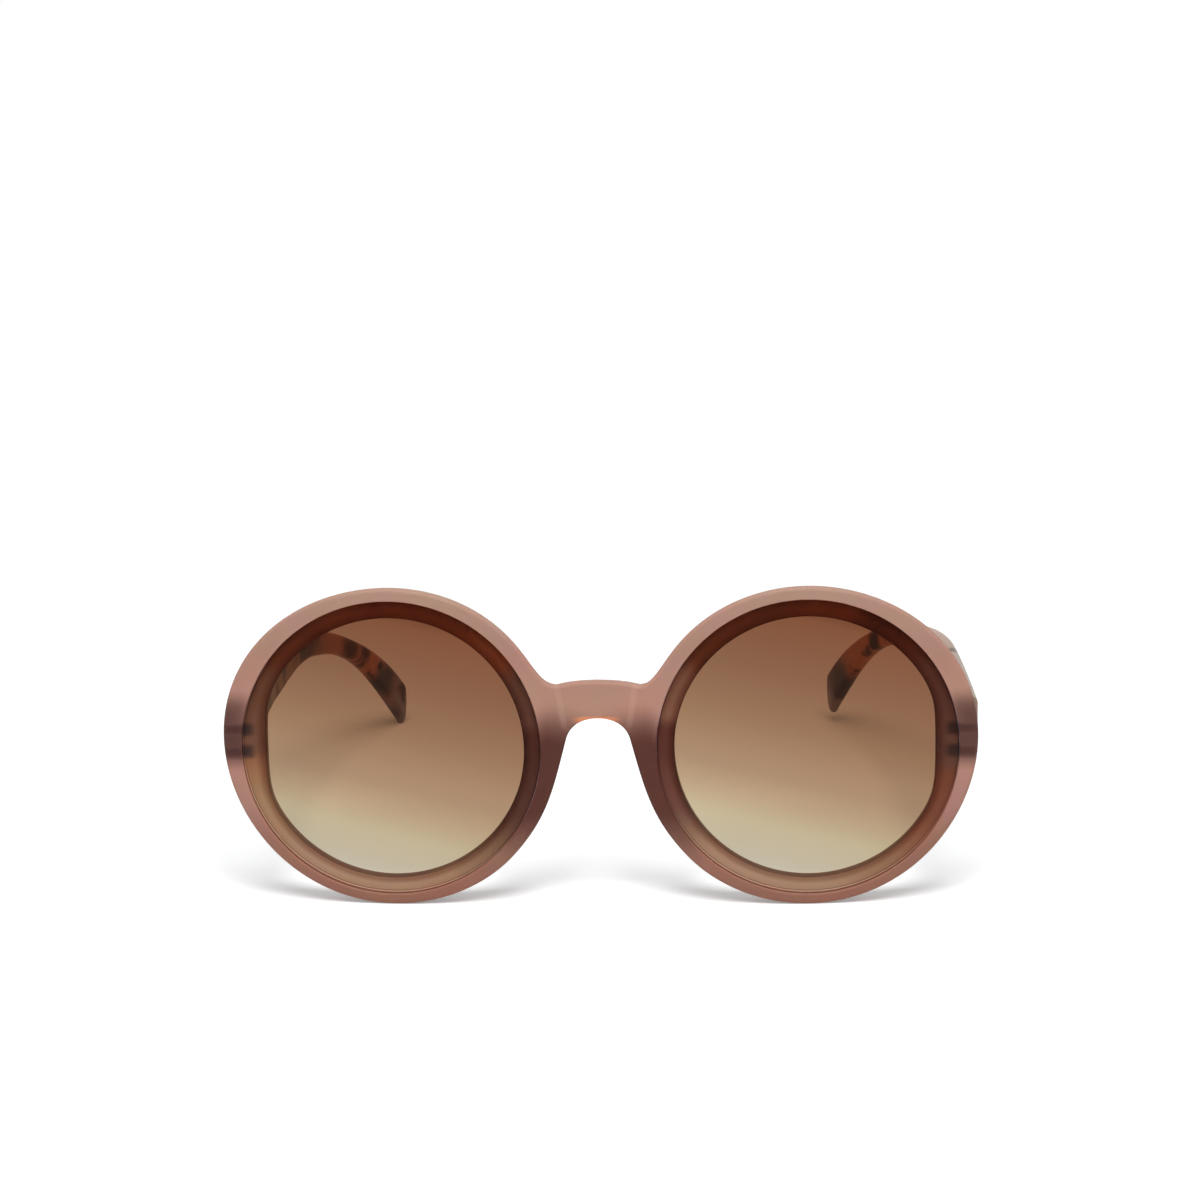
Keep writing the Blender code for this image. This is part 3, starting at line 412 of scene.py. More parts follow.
def eye_ring(bm, size, is_opening, depth):
    centre_x = LENS_X + OPENING_OUTSET if is_opening else LENS_X
    centre_z = LENS_HEIGHT - OPENING_DROP if is_opening else LENS_HEIGHT
    ring = []
    for step in range(EYE_SEGMENTS):
        angle = 2 * math.pi * step / EYE_SEGMENTS
        radius = opening_radius(angle) + size if is_opening else size
        x = centre_x + radius * math.cos(angle)
        ring.append(bm.verts.new((x, depth, centre_z + radius * math.sin(angle))))
    return ring


def cap_half(bm, outer, eye):
    """Fill the flat face between the outline and the eye on one half."""
    chain = [outer[-1]]
    for step in range(1, ROUND_SEGMENTS):
        chain.append(bm.verts.new(outer[-1].co.lerp(outer[0].co, step / ROUND_SEGMENTS)))
    chain.append(outer[0])
    edges = [bm.edges.new(pair) for pair in zip(chain, chain[1:])]
    edges += [bm.edges.get(pair) for pair in zip(outer, outer[1:])]
    edges += [bm.edges.get((eye[index], eye[index - 1])) for index in range(len(eye))]
    bmesh.ops.triangle_fill(bm, use_beauty=True, edges=edges)


def flat_front():
    bm = bmesh.new()
    rows = []
    for inset, depth in wall_levels():
        moved = inset_outline(outline, inset, depth)
        rows.append([bm.verts.new((point.x, depth, point.y)) for point in moved])
    for first, second in zip(rows, rows[1:]):
        bridge(bm, first, second, closed=False)
    rings = [eye_ring(bm, *level) for level in eye_levels()]
    for first, second in zip(rings, rings[1:]):
        bridge(bm, first, second)
    cap_half(bm, rows[0], rings[0])
    cap_half(bm, rows[-1], rings[-1])
    for step in range(1, BRIDGE_CUTS):
        place = Vector((BRIDGE_BLEND * step / BRIDGE_CUTS, 0.0, 0.0))
        whole = bm.verts[:] + bm.edges[:] + bm.faces[:]
        bmesh.ops.bisect_plane(bm, geom=whole, plane_co=place, plane_no=Vector((1.0, 0.0, 0.0)))
    whole = bm.verts[:] + bm.edges[:] + bm.faces[:]
    bmesh.ops.mirror(bm, geom=whole, axis="X", merge_dist=MERGE_DISTANCE)
    return object_from(bm, "front_moulding")


front = flat_front()
print("front skin:", len(front.data.polygons), "faces")

# %% [markdown]
# ## Nose pads
# The pads are lobes of the same moulding, not separate pieces. They could be sculpted, but then
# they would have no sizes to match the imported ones. Each starts as a squashed sphere, splayed and
# leaned like the side of a nose, and a Boolean union joins it to the back of the front. The sphere
# sinks into the flange at a low angle, so hardly a valley is left between them.

# %% Nose pads
PAD_X = RIM_GAP / 2 + 1.7 * MM
PAD_HEIGHT = LENS_HEIGHT - 5.6 * MM
PAD_HALF_THICKNESS = 2.3 * MM
PAD_HALF_HEIGHT = 9.5 * MM
PAD_PROUD = 3.6 * MM
PAD_SPLAY = math.radians(14)
PAD_LEAN = math.radians(17)
PAD_SEGMENTS = 56


def nose_pad(side):
    bm = bmesh.new()
    bmesh.ops.create_uvsphere(bm, u_segments=PAD_SEGMENTS, v_segments=PAD_SEGMENTS, radius=1.0)
    ahead = FLANGE_THICKNESS / 4
    behind = PAD_PROUD + FLANGE_THICKNESS / 2
    bm.transform(Matrix.Diagonal((PAD_HALF_THICKNESS, 1.0, PAD_HALF_HEIGHT, 1.0)))
    for vertex in bm.verts:
        vertex.co.y *= ahead if vertex.co.y < 0 else behind
    bm.transform(Matrix.Rotation(-PAD_LEAN, 4, "Y") @ Matrix.Rotation(-PAD_SPLAY, 4, "Z"))
    middle = FRONT_THICKNESS - FLANGE_THICKNESS / 2
    bm.transform(Matrix.Translation((PAD_X, middle, PAD_HEIGHT)))
    bm.transform(Matrix.Scale(side, 4, Vector((1.0, 0.0, 0.0))))
    return object_from(bm, "nose_pad")


for side in SIDES.values():
    combine(front, nose_pad(side), "UNION")
print("front with pads:", len(front.data.polygons), "faces")

# %% [markdown]
# ## Beds for the hinges
# Each front leaf is sunk into the back of the rim: a shallow bed with two deeper feet. The beds
# could be rows of the skin, but that would crowd it with points. Simple boxes cut them out while
# the front is still flat, so the boxes stay square.

# %% Cut the hinge beds
CUT_OVERRUN = 1.0 * MM
OUTER_KNUCKLE = 2.4 * MM
MIDDLE_KNUCKLE = 1.8 * MM
KNUCKLE_GAP = 0.1 * MM
FOOT_REACH = 2.5 * MM
FOOT_DEPTH = 2.0 * MM
WEB_THICKNESS = 0.8 * MM
LEAF_CLEARANCE = 0.1 * MM
HINGE_HALF_HEIGHT = OUTER_KNUCKLE + KNUCKLE_GAP + MIDDLE_KNUCKLE / 2
HINGE_BOTTOM = HINGE_HEIGHT - HINGE_HALF_HEIGHT
HINGE_TOP = HINGE_HEIGHT + HINGE_HALF_HEIGHT


def leaf_beds(side):
    inner = HINGE_X - KNUCKLE_RADIUS - LEAF_CLEARANCE
    outer = HINGE_X + FOOT_REACH + LEAF_CLEARANCE
    x_range = sorted((side * inner, side * outer))
    back = FRONT_THICKNESS + CUT_OVERRUN
    low = HINGE_BOTTOM - LEAF_CLEARANCE
    high = HINGE_TOP + LEAF_CLEARANCE
    shallow = FRONT_THICKNESS - WEB_THICKNESS - LEAF_CLEARANCE
    deep = FRONT_THICKNESS - FOOT_DEPTH - LEAF_CLEARANCE
    foot = OUTER_KNUCKLE + 2 * LEAF_CLEARANCE
    yield block(x_range, (shallow, back), (low, high))
    yield block(x_range, (deep, back), (low, low + foot))
    yield block(x_range, (deep, back), (high - foot, high))


for side in SIDES.values():
    for bed in leaf_beds(side):
        combine(front, bed, "DIFFERENCE")
print("front with beds:", len(front.data.polygons), "faces")

# %% [markdown]
# ## Mark what lies behind the lens
# The flange takes its light through the open eye and from behind, so it has colours of its own that
# paint that light. Each point of the mesh gets a number called behind_lens: 1 on the flange's face,
# falling to 0 at its back. A second number, inward, runs from 0 at the lens's seat to 1 at the edge
# of the opening, because the face gets darker that way. The whole front is then curved back and set
# on the table.

# %% Mark the flange and curve the front
FLANGE_SHINE_DEPTH = 2.4 * MM


def behind_lens(place):
    reach = math.hypot(abs(place.x) - LENS_X, place.z - LENS_HEIGHT)
    depth = place.y - POCKET_DEPTH
    if reach > POCKET_RADIUS + MERGE_DISTANCE or depth < -MERGE_DISTANCE:
        return 0.0
    return 1 - smooth_step(depth / FLANGE_SHINE_DEPTH)


def inward(place):
    """0 at the wall of the lens's seat, 1 at the edge of the opening."""
    reach = math.hypot(abs(place.x) - LENS_X, place.z - LENS_HEIGHT)
    across = abs(place.x) - LENS_X - OPENING_OUTSET
    up = place.z - LENS_HEIGHT + OPENING_DROP
    to_opening = max(math.hypot(across, up) - opening_radius(math.atan2(up, across)), 0.0)
    to_seat = max(POCKET_RADIUS - reach, 0.0)
    return to_seat / max(to_seat + to_opening, MERGE_DISTANCE)


lens_mark = front.data.attributes.new("behind_lens", "FLOAT", "POINT")
inward_mark = front.data.attributes.new("inward", "FLOAT", "POINT")
for vertex in front.data.vertices:
    lens_mark.data[vertex.index].value = behind_lens(vertex.co)
    inward_mark.data[vertex.index].value = inward(vertex.co)
    vertex.co.y += wrap_back(vertex.co.x)
print("front moulding:", finish_mesh(front, ON_TABLE), "faces")

# %% [markdown]
# ## One helper for every node
# Lenses and finishes are made from nodes, and all of them are built from Python here. One small
# helper adds a node, sets its options and feeds its inputs, so a tree reads as a list of what each
# node takes. Options that come back often have a name.

# %% Add one node
ABSOLUTE = {"operation": "ABSOLUTE"}
COLOURS = {"data_type": "RGBA"}
DIVIDE = {"operation": "DIVIDE"}
GREATER_THAN = {"operation": "GREATER_THAN"}
LENGTH = {"operation": "LENGTH"}
LESS_THAN = {"operation": "LESS_THAN"}
MAXIMUM = {"operation": "MAXIMUM"}
MULTIPLY = {"operation": "MULTIPLY"}
SCALE = {"operation": "SCALE"}
SMOOTH = {"interpolation_type": "SMOOTHSTEP"}
SUBTRACT = {"operation": "SUBTRACT"}


def add_node(tree, kind, settings=None, inputs=None):
    """Add one node with its settings. An input is linked to a socket, or set to a plain value."""
    node = tree.nodes.new(kind)
    for name, value in (settings or {}).items():
        setattr(node, name, value)
    for name, source in (inputs or {}).items():
        socket = node.inputs[name]
        if isinstance(source, bpy.types.NodeSocket):
            tree.links.new(source, socket)
        else:
            socket.default_value = source
    return node


print("colours mix with", COLOURS, "and masks ease with", SMOOTH)

# %% [markdown]
# ## Lenses from Geometry Nodes
# A lens follows a rule: a disc of even thickness, domed forward by a square law, with a V bevel
# round its edge that snaps into the rim. A profile turned by a Screw modifier could make it too. A
# Geometry Nodes tree states the rule once, and both lenses use it. Its inputs are the lens's real
# sizes. The tree also notes how far each point lies from the middle, as an attribute called reach,
# for the material to read. The result is turned into a plain mesh and bent to the front's curve.

# %% Geometry Nodes tree for a lens
DISC_LAYERS = 4
EDGE_SHARE = 0.999


def domed_disc(tree, sizes):
    """The disc, lifted by the square law, with what the bevel needs to know."""
    disc = add_node(tree, "GeometryNodeMeshCylinder", {"fill_type": "TRIANGLE_FAN"}, {
        "Vertices": sizes["Sides"],
        "Side Segments": DISC_LAYERS,
        "Fill Segments": sizes["Rings"],
        "Radius": sizes["Radius"],
        "Depth": sizes["Edge thickness"],
    })
    place = add_node(tree, "GeometryNodeInputPosition").outputs["Position"]
    parts = add_node(tree, "ShaderNodeSeparateXYZ", None, {"Vector": place}).outputs
    level = add_node(tree, "ShaderNodeCombineXYZ", None, {"X": parts["X"], "Y": parts["Y"]}).outputs["Vector"]
    reach = add_node(tree, "ShaderNodeVectorMath", LENGTH, {0: level}).outputs["Value"]
    share = add_node(tree, "ShaderNodeMath", DIVIDE, {0: reach, 1: sizes["Radius"]}).outputs[0]
    square = add_node(tree, "ShaderNodeMath", MULTIPLY, {0: share, 1: share}).outputs[0]
    fall = add_node(tree, "ShaderNodeMath", SUBTRACT, {0: 1.0, 1: square}).outputs[0]
    rise = add_node(tree, "ShaderNodeMath", MULTIPLY, {0: fall, 1: sizes["Dome"]}).outputs[0]
    domed = add_node(tree, "GeometryNodeSetPosition", None, {
        "Geometry": disc.outputs["Mesh"],
        "Offset": add_node(tree, "ShaderNodeCombineXYZ", None, {"Z": rise}).outputs["Vector"],
    })
    return domed.outputs["Geometry"], share, level, parts["Z"]


def bevelled_disc(tree, domed, share, level, layer, bevel):
    """Push the middle layer of the edge outwards, so that the edge becomes a V."""
    at_edge = add_node(tree, "ShaderNodeMath", GREATER_THAN, {0: share, 1: EDGE_SHARE}).outputs[0]
    off_middle = add_node(tree, "ShaderNodeMath", ABSOLUTE, {0: layer}).outputs[0]
    at_middle = add_node(tree, "ShaderNodeMath", LESS_THAN, {0: off_middle, 1: MERGE_DISTANCE}).outputs[0]
    ridge = add_node(tree, "ShaderNodeMath", MULTIPLY, {0: at_edge, 1: at_middle}).outputs[0]
    outward = add_node(tree, "ShaderNodeVectorMath", {"operation": "NORMALIZE"}, {0: level}).outputs["Vector"]
    push = add_node(tree, "ShaderNodeVectorMath", SCALE, {0: outward, "Scale": bevel})
    return add_node(tree, "GeometryNodeSetPosition", None, {
        "Geometry": domed,
        "Selection": ridge,
        "Offset": push.outputs["Vector"],
    }).outputs["Geometry"]


def lens_tree(material):
    tree = bpy.data.node_groups.new("domed_lens", "GeometryNodeTree")
    tree.interface.new_socket("Geometry", in_out="OUTPUT", socket_type="NodeSocketGeometry")
    for name in ("Radius", "Edge thickness", "Dome", "Bevel"):
        tree.interface.new_socket(name, in_out="INPUT", socket_type="NodeSocketFloat")
    for name in ("Sides", "Rings"):
        tree.interface.new_socket(name, in_out="INPUT", socket_type="NodeSocketInt")
    sizes = add_node(tree, "NodeGroupInput").outputs
    domed, share, level, layer = domed_disc(tree, sizes)
    marked = add_node(tree, "GeometryNodeStoreNamedAttribute", {"data_type": "FLOAT", "domain": "POINT"}, {
        "Geometry": bevelled_disc(tree, domed, share, level, layer, sizes["Bevel"]),
        "Name": "reach",
        "Value": share,
    })
    whole = add_node(tree, "GeometryNodeRealizeInstances", None, {"Geometry": marked.outputs["Geometry"]})
    coated = add_node(tree, "GeometryNodeSetMaterial", None, {
        "Geometry": whole.outputs["Geometry"],
        "Material": material,
    })
    add_node(tree, "NodeGroupOutput", None, {"Geometry": coated.outputs["Geometry"]})
    return tree


lens_material = bpy.data.materials.new("gradient_tinted_nylon")
lens_nodes = lens_tree(lens_material)
print("lens tree:", len(lens_nodes.nodes), "nodes")

# %% Make both lenses
LENS_SIZES = {
    "Radius": LENS_RADIUS,
    "Edge thickness": LENS_EDGE,
    "Dome": LENS_DOME,
    "Bevel": LENS_BEVEL,
    "Sides": 160,
    "Rings": 12,
}


def make_lens(side_name):
    lens = bpy.data.objects.new("lens_disc_" + side_name, bpy.data.meshes.new("lens"))
    bpy.context.scene.collection.objects.link(lens)
    modifier = lens.modifiers.new("lens rule", "NODES")
    modifier.node_group = lens_nodes
    for item in lens_nodes.interface.items_tree:
        if item.in_out == "INPUT":
            modifier[item.identifier] = LENS_SIZES[item.name]
    apply_modifiers(lens)
    middle = LENS_RECESS + LENS_EDGE / 2
    for vertex in lens.data.vertices:
        x = SIDES[side_name] * (LENS_X + vertex.co.x)
        vertex.co = (x, middle - vertex.co.z + wrap_back(x), LENS_HEIGHT + vertex.co.y)
    outward_faces(lens)
    finish_mesh(lens, ON_TABLE)
    return lens


lenses = {side_name: make_lens(side_name) for side_name in SIDES}
print("lenses:", [len(lens.data.polygons) for lens in lenses.values()], "faces")

# %% [markdown]
# ## Temples
# A temple is cut from a slab of acetate, thick and tall at the butt, slim over the ear, wider again
# at the tip, and bent by heat round a wire core. A curve with a bevel profile could follow the
# bend, but it keeps one section, and this one changes in width and height each in its own way. So a
# rounded section is drawn anew at each step of a bent middle line. The section's place along the
# line is kept on each point as an attribute called along, so that the colour can change towards the
# tip.

# %% Sizes and path of a temple
TEMPLE_LENGTH = 139.1 * MM
TEMPLE_INSET = 0.1 * MM
TEMPLE_BUTT_RISE = 1.5 * MM
TEMPLE_BUTT_GAP = 0.25 * MM
TEMPLE_TIP_SLANT = 5.8 * MM
TEMPLE_TIP_ROUND = 0.85 * MM
TEMPLE_TIP_POWER = 1.44
TEMPLE_TIP_BLUNT_SHARE = 0.32
TEMPLE_TIP_BIAS_SHARE = 1.22
TEMPLE_CORNER = 1.25 * MM
TEMPLE_PLACES = [0.0, 46.1 * MM, 80.0 * MM, 100.0 * MM, 132.9 * MM]
TEMPLE_WIDTHS = [4.5 * MM, 3.8 * MM, 3.5 * MM, 3.3 * MM, 2.9 * MM]
TEMPLE_HEIGHTS = [12.1 * MM, 10.1 * MM, 5.2 * MM, 4.3 * MM, 7.2 * MM]
# Where a bend starts and ends along the temple, and its angle.
EAR_BEND = (54.2 * MM, 142.9 * MM, math.radians(41.7))
INWARD_BEND = (23.6 * MM, 107.8 * MM, math.radians(18.2))
# How far each temple is lifted from lying straight back, and swung from there towards -X.
STANCES = {"left": (math.radians(1.1), math.radians(2.2)), "right": (0.0, math.radians(1.4))}
TEMPLE_INNER_X = HINGE_X - TEMPLE_INSET
TEMPLE_BUTT_X = TEMPLE_INNER_X + TEMPLE_WIDTHS[0] / 2
PATH_STEPS = 400


def bend(run, start, end, angle):
    return angle * smooth_step((run - start) / (end - start))


def temple_path():
    """Points and directions along the middle line, from the butt to the tip."""
    start_y = FRONT_THICKNESS + wrap_back(TEMPLE_BUTT_X) + TEMPLE_BUTT_GAP
    position = Vector((TEMPLE_BUTT_X, start_y, HINGE_HEIGHT + TEMPLE_BUTT_RISE))
    step_length = TEMPLE_LENGTH / PATH_STEPS
    frames = []
    for step in range(PATH_STEPS + 1):
        slope = bend(step * step_length, *EAR_BEND)
        turn = bend(step * step_length, *INWARD_BEND)
        level = Vector((-math.sin(turn), math.cos(turn), 0.0))
        heading = level * math.cos(slope) - Vector((0.0, 0.0, math.sin(slope)))
        outward = Vector((math.cos(turn), math.sin(turn), 0.0))
        frames.append((position.copy(), outward, outward.cross(heading)))
        position = position + heading * step_length
    return frames


path = temple_path()
print("temple tip lies", round(path[-1][0].y / MM, 1), "mm behind the front's face")

# %% Section of a temple
CORNER_SEGMENTS = 7


def along_places(run, sizes):
    """Ease between the sizes given at a few places along the temple."""
    for index in range(1, len(TEMPLE_PLACES)):
        start, end = TEMPLE_PLACES[index - 1 : index + 1]
        if run <= end:
            share = smooth_step((run - start) / (end - start))
            return sizes[index - 1] + (sizes[index] - sizes[index - 1]) * share
    return sizes[-1]


def rounded_section(width, height):
    radius = min(TEMPLE_CORNER, width / 2, height / 2)
    points = []
    for quarter, (right, up) in enumerate(((1, 1), (-1, 1), (-1, -1), (1, -1))):
        centre = (right * (width / 2 - radius), up * (height / 2 - radius))
        start = math.pi / 2 * quarter
        points += arc(centre, radius, start, start + math.pi / 2, CORNER_SEGMENTS)
    return points


def tip_share(run, reach):
    """0 before the last reach of the temple, rising to 1 at its end."""
    return max(run - (TEMPLE_LENGTH - reach), 0.0) / reach


def temple_section(run):
    """Points across and up. Along the tip they shrink from above, and the very end is rounded."""
    slant = 1 - (1 - TEMPLE_TIP_BLUNT_SHARE) * tip_share(run, TEMPLE_TIP_SLANT) ** TEMPLE_TIP_POWER
    narrow = math.sqrt(1 - tip_share(run, TEMPLE_TIP_ROUND) ** 2)
    width = along_places(run, TEMPLE_WIDTHS) * math.sqrt(slant) * narrow
    height = along_places(run, TEMPLE_HEIGHTS)
    droop = height * (1 - slant) / 2 * TEMPLE_TIP_BIAS_SHARE
    return [(across, rise - droop) for across, rise in rounded_section(width, height * slant * narrow)]


def section_ring(bm, run, section):
    """A section set square to the path, between the two nearest steps of the path."""
    place = min(run / TEMPLE_LENGTH * PATH_STEPS, PATH_STEPS)
    step = min(int(place), PATH_STEPS - 1)
    position, outward, up = (a.lerp(b, place - step) for a, b in zip(path[step], path[step + 1]))
    return [bm.verts.new(position + outward * across + up * rise) for across, rise in section]


print("butt section:", len(temple_section(0.0)), "points")

# %% Skin of a temple
ARM_RINGS = 120
SLANT_RINGS = 16
TIP_RINGS = 12
CORE_RADIUS = 0.6 * MM
CORE_CLEARANCE = 0.1 * MM
CORE_LENGTH = 112.0 * MM
CORE_SETBACK = 0.4 * MM


def temple_runs():
    """Places of the rings: even along the arm, closer together along the tip and round its end."""
    slant_start = TEMPLE_LENGTH - TEMPLE_TIP_SLANT
    round_start = TEMPLE_LENGTH - TEMPLE_TIP_ROUND
    runs = [slant_start * step / ARM_RINGS for step in range(ARM_RINGS)]
    for step in range(SLANT_RINGS):
        runs.append(slant_start + (round_start - slant_start) * step / SLANT_RINGS)
    for step in range(TIP_RINGS):
        runs.append(round_start + TEMPLE_TIP_ROUND * math.sin(math.pi / 2 * step / TIP_RINGS))
    return runs


def core_bore(bm, butt):
    """The hole for the wire core, joined to the open butt."""
    end = CORE_SETBACK + CORE_LENGTH + CORE_CLEARANCE
    count = len(butt)
    radius = CORE_RADIUS + CORE_CLEARANCE
    section = arc((0.0, 0.0), radius, 0.0, 2 * math.pi * (count - 1) / count, count - 1)
    rows = [butt]
    for run in [run for run in temple_runs() if run < end] + [end]:
        rows.append(section_ring(bm, run, section))
    for first, second in zip(rows, rows[1:]):
        bridge(bm, first, second)
    bm.faces.new(rows[-1])
    return rows[1]


def temple_skin(name):
    bm = bmesh.new()
    along = bm.verts.layers.float.new("along")
    rows = []
    for run in temple_runs():
        ring = section_ring(bm, run, temple_section(run))
        for vertex in ring:
            vertex[along] = run / TEMPLE_LENGTH
        rows.append(ring)
    for first, second in zip(rows, rows[1:]):
        bridge(bm, first, second)
    end, _, up = path[-1]
    tip_droop = TEMPLE_HEIGHTS[-1] * (1 - TEMPLE_TIP_BLUNT_SHARE) / 2 * TEMPLE_TIP_BIAS_SHARE
    tip = bm.verts.new(end - up * tip_droop)
    tip[along] = 1.0
    for index in range(len(rows[-1])):
        bm.faces.new((tip, rows[-1][index - 1], rows[-1][index]))
    mouth = core_bore(bm, rows[0])
    for vertex in rows[0] + mouth:
        vertex.co.y = FRONT_THICKNESS + wrap_back(vertex.co.x) + TEMPLE_BUTT_GAP
    return object_from(bm, name)


print("rings along a temple:", len(temple_runs()))

# %% Cut and place the temples
PLATE_LENGTH = 9.0 * MM
PLATE_HEIGHT = 5.0 * MM
PLATE_THICKNESS = 1.0 * MM
LEAF_FLUSH = 0.05 * MM
NOTCH_CLEARANCE = 0.25 * MM
NOTCH_RADIUS = KNUCKLE_RADIUS + NOTCH_CLEARANCE
SCREW_HEAD = 0.55 * MM
NOTCH_SEGMENTS = 24


def knuckle_notch():
    """The butt's inner corner is cut away round the knuckles."""
    front_y = FRONT_THICKNESS - CUT_OVERRUN
    inside = TEMPLE_INNER_X - CUT_OVERRUN
    plan = [(inside, front_y), (HINGE_X + NOTCH_RADIUS, front_y)]
    plan += arc((HINGE_X, HINGE_Y), NOTCH_RADIUS, 0.0, math.pi / 2, NOTCH_SEGMENTS)
    plan.append((inside, HINGE_Y + NOTCH_RADIUS))
    bm = bmesh.new()
    bottom = HINGE_BOTTOM - NOTCH_CLEARANCE
    top = HINGE_TOP + SCREW_HEAD + NOTCH_CLEARANCE
    low = [bm.verts.new((x, y, bottom)) for x, y in plan]
    high = [bm.verts.new((x, y, top)) for x, y in plan]
    bm.faces.new(low)
    bm.faces.new(high)
    bridge(bm, low, high)
    return object_from(bm, "notch")


def plate_bed():
    """The shallow bed for the temple leaf's plate."""
    depth = LEAF_FLUSH + PLATE_THICKNESS + LEAF_CLEARANCE
    x_range = (TEMPLE_INNER_X - CUT_OVERRUN, TEMPLE_INNER_X + depth)
    y_range = (HINGE_Y, HINGE_Y + NOTCH_RADIUS + PLATE_LENGTH + LEAF_CLEARANCE)
    half = PLATE_HEIGHT / 2 + LEAF_CLEARANCE
    return block(x_range, y_range, (HINGE_HEIGHT - half, HINGE_HEIGHT + half))


def make_temple(side_name):
    side = SIDES[side_name]
    temple = temple_skin("temple_arm_" + side_name)
    combine(temple, knuckle_notch(), "DIFFERENCE")
    combine(temple, plate_bed(), "DIFFERENCE")
    temple.data.transform(Matrix.Scale(side, 4, Vector((1.0, 0.0, 0.0))))
    outward_faces(temple)
    pivot = Vector((side * HINGE_X, HINGE_Y, HINGE_HEIGHT))
    lift, swing = STANCES[side_name]
    turn = Matrix.Rotation(swing, 4, "Z") @ Matrix.Rotation(lift, 4, "X")
    finish_mesh(temple, ON_TABLE @ Matrix.Translation(pivot) @ turn @ Matrix.Translation(-pivot))
    return temple


temples = {side_name: make_temple(side_name) for side_name in SIDES}
print("temples:", [len(temple.data.polygons) for temple in temples.values()], "faces")

# %% [markdown]
# ## Hinge hardware
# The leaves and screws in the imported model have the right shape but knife-sharp edges. Stamped and
# turned metal always has a small round on its edges, and that round is what catches the light. The
# pieces could be drawn again, but a copy keeps every knuckle exactly on its fold line. Each is
# copied, its loose triangles are merged and a narrow bevel is put on every sharp edge.

# %% Leaves, screws and wire cores with softened edges
HARDWARE = {
    "hinge_front_leaf": ("front_leaf_rounded", 0.12 * MM),
    "hinge_temple_leaf": ("temple_leaf_rounded", 0.1 * MM),
    "hinge_screw": ("slotted_screw", 0.05 * MM),
    "temple_core": ("wire_core", 0.1 * MM),
}
FLAT_ANGLE = math.radians(1)
BEVEL_ANGLE = math.radians(40)
BEVEL_SEGMENTS = 2


def soften(node, name, edge_round):
    bm = bmesh.new()
    bm.from_mesh(frame["nodes"][node].data)
    bmesh.ops.remove_doubles(bm, verts=bm.verts, dist=MERGE_DISTANCE)
    bmesh.ops.dissolve_limit(bm, angle_limit=FLAT_ANGLE, verts=bm.verts, edges=bm.edges)
    piece = object_from(bm, name)
    bevel = piece.modifiers.new("edge round", "BEVEL")
    bevel.width = edge_round
    bevel.segments = BEVEL_SEGMENTS
    bevel.limit_method = "ANGLE"
    bevel.angle_limit = BEVEL_ANGLE
    apply_modifiers(piece)
    finish_mesh(piece, Matrix.Identity(4))
    return piece


hardware = {}
for kind, (name, edge_round) in HARDWARE.items():
    for side_name in SIDES:
        node = kind + "_" + side_name
        hardware[node] = soften(node, name + "_" + side_name, edge_round)
print("hardware pieces:", len(hardware))

# %% [markdown]
# ## Colours and material helpers
# Colours are written as sRGB hex values, the way a colour picker shows them, and one function turns
# them to the linear values that the renderer works with. A row of tints pairs a place between 0 and
# 1 with such a colour. Every material starts from an empty tree with one output.

# %% Material helpers
def linear(hex_colour):
    """sRGB hex to linear RGBA."""
    values = []
    for start in (1, 3, 5):
        share = int(hex_colour[start : start + 2], 16) / 255
        values.append(share / 12.92 if share <= 0.04045 else ((share + 0.055) / 1.055) ** 2.4)
    return (*values, 1.0)


def start_material(material):
    """An empty node tree with an output, ready to fill."""
    material.use_nodes = True
    tree = material.node_tree
    tree.nodes.clear()
    return tree, add_node(tree, "ShaderNodeOutputMaterial")


def fill_ramp(ramp, tints, to_colour=linear):
    """Put a row of tints into a ramp node and return its colour socket."""
    stops = ramp.color_ramp.elements
    while len(stops) < len(tints):
        stops.new(0.5)
    for stop, (position, hex_colour) in zip(stops, tints):
        stop.position = position
        stop.color = to_colour(hex_colour)
    return ramp.outputs["Color"]


def lay_over(tree, tint, layers):
    """Lay colours over a tint one after another, each as far as its mask goes from 0 to 1."""
    # A Mix node has its two colours at inputs 6 and 7, and the mixed one at output 2.
    for mask, hex_colour in layers:
        tint = add_node(tree, "ShaderNodeMix", COLOURS, {
            "Factor": mask,
            6: tint,
            7: linear(hex_colour),
        }).outputs[2]
    return tint


def fade_over(blur):
    """Map Range inputs for a mask that eases from 1 to 0 where the reach passes 1."""
    return {"From Min": 1 - blur, "From Max": 1 + blur, "To Min": 1.0, "To Max": 0.0}


def dress(obj, material):
    obj.data.materials.clear()
    obj.data.materials.append(material)


print("rose in linear light:", [round(c, 3) for c in linear("#b18a78")])
